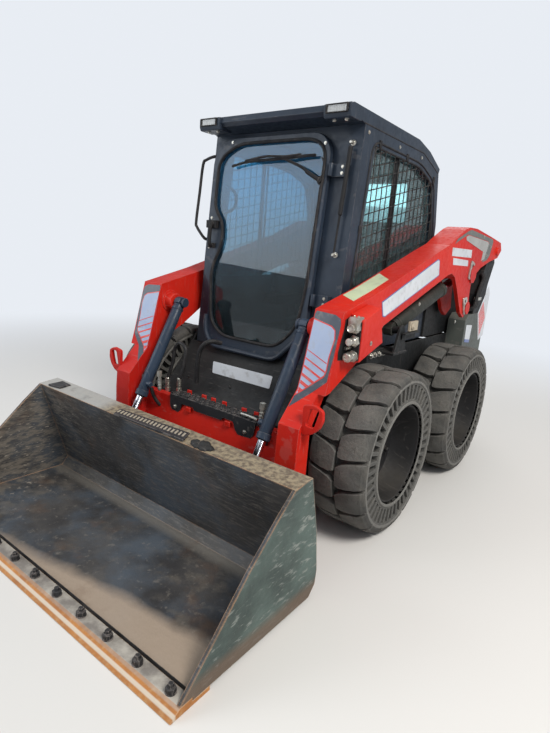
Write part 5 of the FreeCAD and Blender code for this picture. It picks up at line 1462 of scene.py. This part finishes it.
def side_plates():
    form = Form().slab(((1.989, 1.205), (1.800, 0.998), (1.925, 0.772), (2.045, 0.806),
                        (2.045, 1.150)), 0.6505, 0.003)
    form.mirror().done("hatch_plate", "film_white", "chassis", 0.001, smooth=0)
    form = Form()
    low, high = Vector((1.822, 0.990)), Vector((1.935, 0.800))
    for index in range(9):
        start = low + (high - low) * (index + 0.1) / 9
        end = low + (high - low) * (index + 0.58) / 9
        rise = Vector((0.085, 0.095 + 0.006 * index))
        form.slab((start, end, end + rise, start + rise), 0.6535, 0.0010)
    form.mirror().done("hatch_red", "film_red", "chassis", smooth=0)
    form = Form().slab(((1.560, 0.924), (1.700, 0.912), (1.690, 0.800), (1.566, 0.815)),
                       0.6505, 0.0015)
    form.done("side_tag", "film_white", "chassis", smooth=0)
    form = Form().slab(((1.566, 0.815), (1.690, 0.800), (1.688, 0.777), (1.568, 0.792)),
                       0.6505, 0.0015)
    form.done("side_tag_foot", "film_blue", "chassis", smooth=0)


def tail_hoses():
    """Two hoses that run up behind the arm's rear leg, clamped to the upright."""
    form = Form()
    for shift in (0.0, 0.034):
        form.tube(curve_through([(0.600, 1.600 + shift, 1.020), (0.664, 1.615 + shift, 1.055),
                                 (0.668, 1.640 + shift, 1.120), (0.668, 1.685 + shift, 1.200),
                                 (0.666, 1.735 + shift, 1.265), (0.640, 1.770 + shift, 1.300)]),
                  0.0125)
    form.mirror().done("tail_hoses", "hose_black", "chassis")
    form = Form().block((0.6495, 1.640, 1.108), (0.684, 1.715, 1.130))
    form.mirror().done("hose_clamps", "pin_zinc", "chassis", 0.002)


def hood_details():
    """Raised ribs and a row of vents on the hood, and a louvred grille and a latch at the rear."""
    form = Form()
    for index in range(9):
        y = 1.180 + 0.062 * index
        form.block((-0.330, y, 1.4375), (0.330, y + 0.030, 1.4415))
    form.done("hood_vents", "trim_black", "chassis", 0.0015)
    form = Form()
    for index in range(13):
        z = 0.700 + 0.040 * index
        form.slab(((2.0695, z), (2.0695, z + 0.016), (2.0575, z + 0.030), (2.0575, z + 0.004)),
                  -0.400, 0.800)
    form.done("rear_louvres", "trim_black", "rear_door", 0.001)
    form = Form()
    form.block((0.390, 2.0565, 0.900), (0.430, 2.0695, 1.010))
    form.done("rear_latch", "pin_zinc", "rear_door", 0.004)


def bucket_details():
    form = Form()
    for index in range(11):
        x = -0.81 + 0.162 * index
        form.lathe((x, -1.427, 0.0295), Z, ((0, 0.0), (0, 0.019), (0.003, 0.019), (0.003, 0.016)),
                   20)
        form.lathe((x, -1.427, 0.0322), Z, ((0, 0.0180), (0.017, 0.0180), (0.019, 0.015),
                                            (0.019, 0.011), (0.031, 0.010), (0.031, 0)), 6)
    form.done("edge_bolts", "step_black", "bucket", 0.0008)
    form = Form().block((-0.845, -1.3962, 0.029), (0.845, -1.3935, 0.0446))
    form.done("edge_seam", "trim_black", "bucket", 0.001)
    base = ((-0.212, -0.873), (0.243, -0.842), (0.283, -0.919), (-0.177, -0.937))
    form = Form()
    form.pull([(x, y, 0.552) for x, y in base], (0, 0, 0.0105))
    form.done("ledge_plate", "step_black", "bucket", 0.002)
    form = Form()
    for index in range(20):
        share = (index + 0.6) / 20.4
        far = Vector(base[0]).lerp(Vector(base[1]), share)
        near = Vector(base[3]).lerp(Vector(base[2]), share)
        low, high = near.lerp(far, 0.30), near.lerp(far, 0.78)
        side = (Vector(base[1]) - Vector(base[0])).normalized() * 0.0055
        spots = [low - side, low + side, high + side, high - side]
        form.pull([(spot.x, spot.y, 0.5622) for spot in spots], (0, 0, 0.0012))
    form.done("ledge_slots", "block_tan", "bucket", smooth=0)
    form = Form()
    form.pull([(-0.790, -0.920, 0.552), (-0.700, -0.905, 0.552), (-0.700, -0.840, 0.556),
               (-0.790, -0.835, 0.556)], (0, 0, 0.0105))
    form.done("ledge_end", "step_black", "bucket", 0.003)
    lumps = Form()
    for index, (x, y, size) in enumerate(((0.335, -0.890, 0.030), (0.372, -0.880, 0.034),
                                          (0.408, -0.893, 0.028), (0.352, -0.905, 0.022),
                                          (0.390, -0.905, 0.024))):
        made = bmesh.ops.create_icosphere(lumps.mesh, subdivisions=3, radius=size)
        for vert in made["verts"]:
            spot = vert.co
            wave = 1 + 0.16 * math.sin(spot.x * 190 + index) * math.cos(spot.y * 170 + 2 * index)
            vert.co = Vector((x + spot.x * wave, y + spot.y * wave * 0.8,
                              0.552 + max(spot.z, -0.2 * size) * 0.55 * wave))
    lumps.done("ledge_dirt", "frame_black", "bucket", smooth=60)


side_plates()
tail_hoses()
hood_details()
bucket_details()
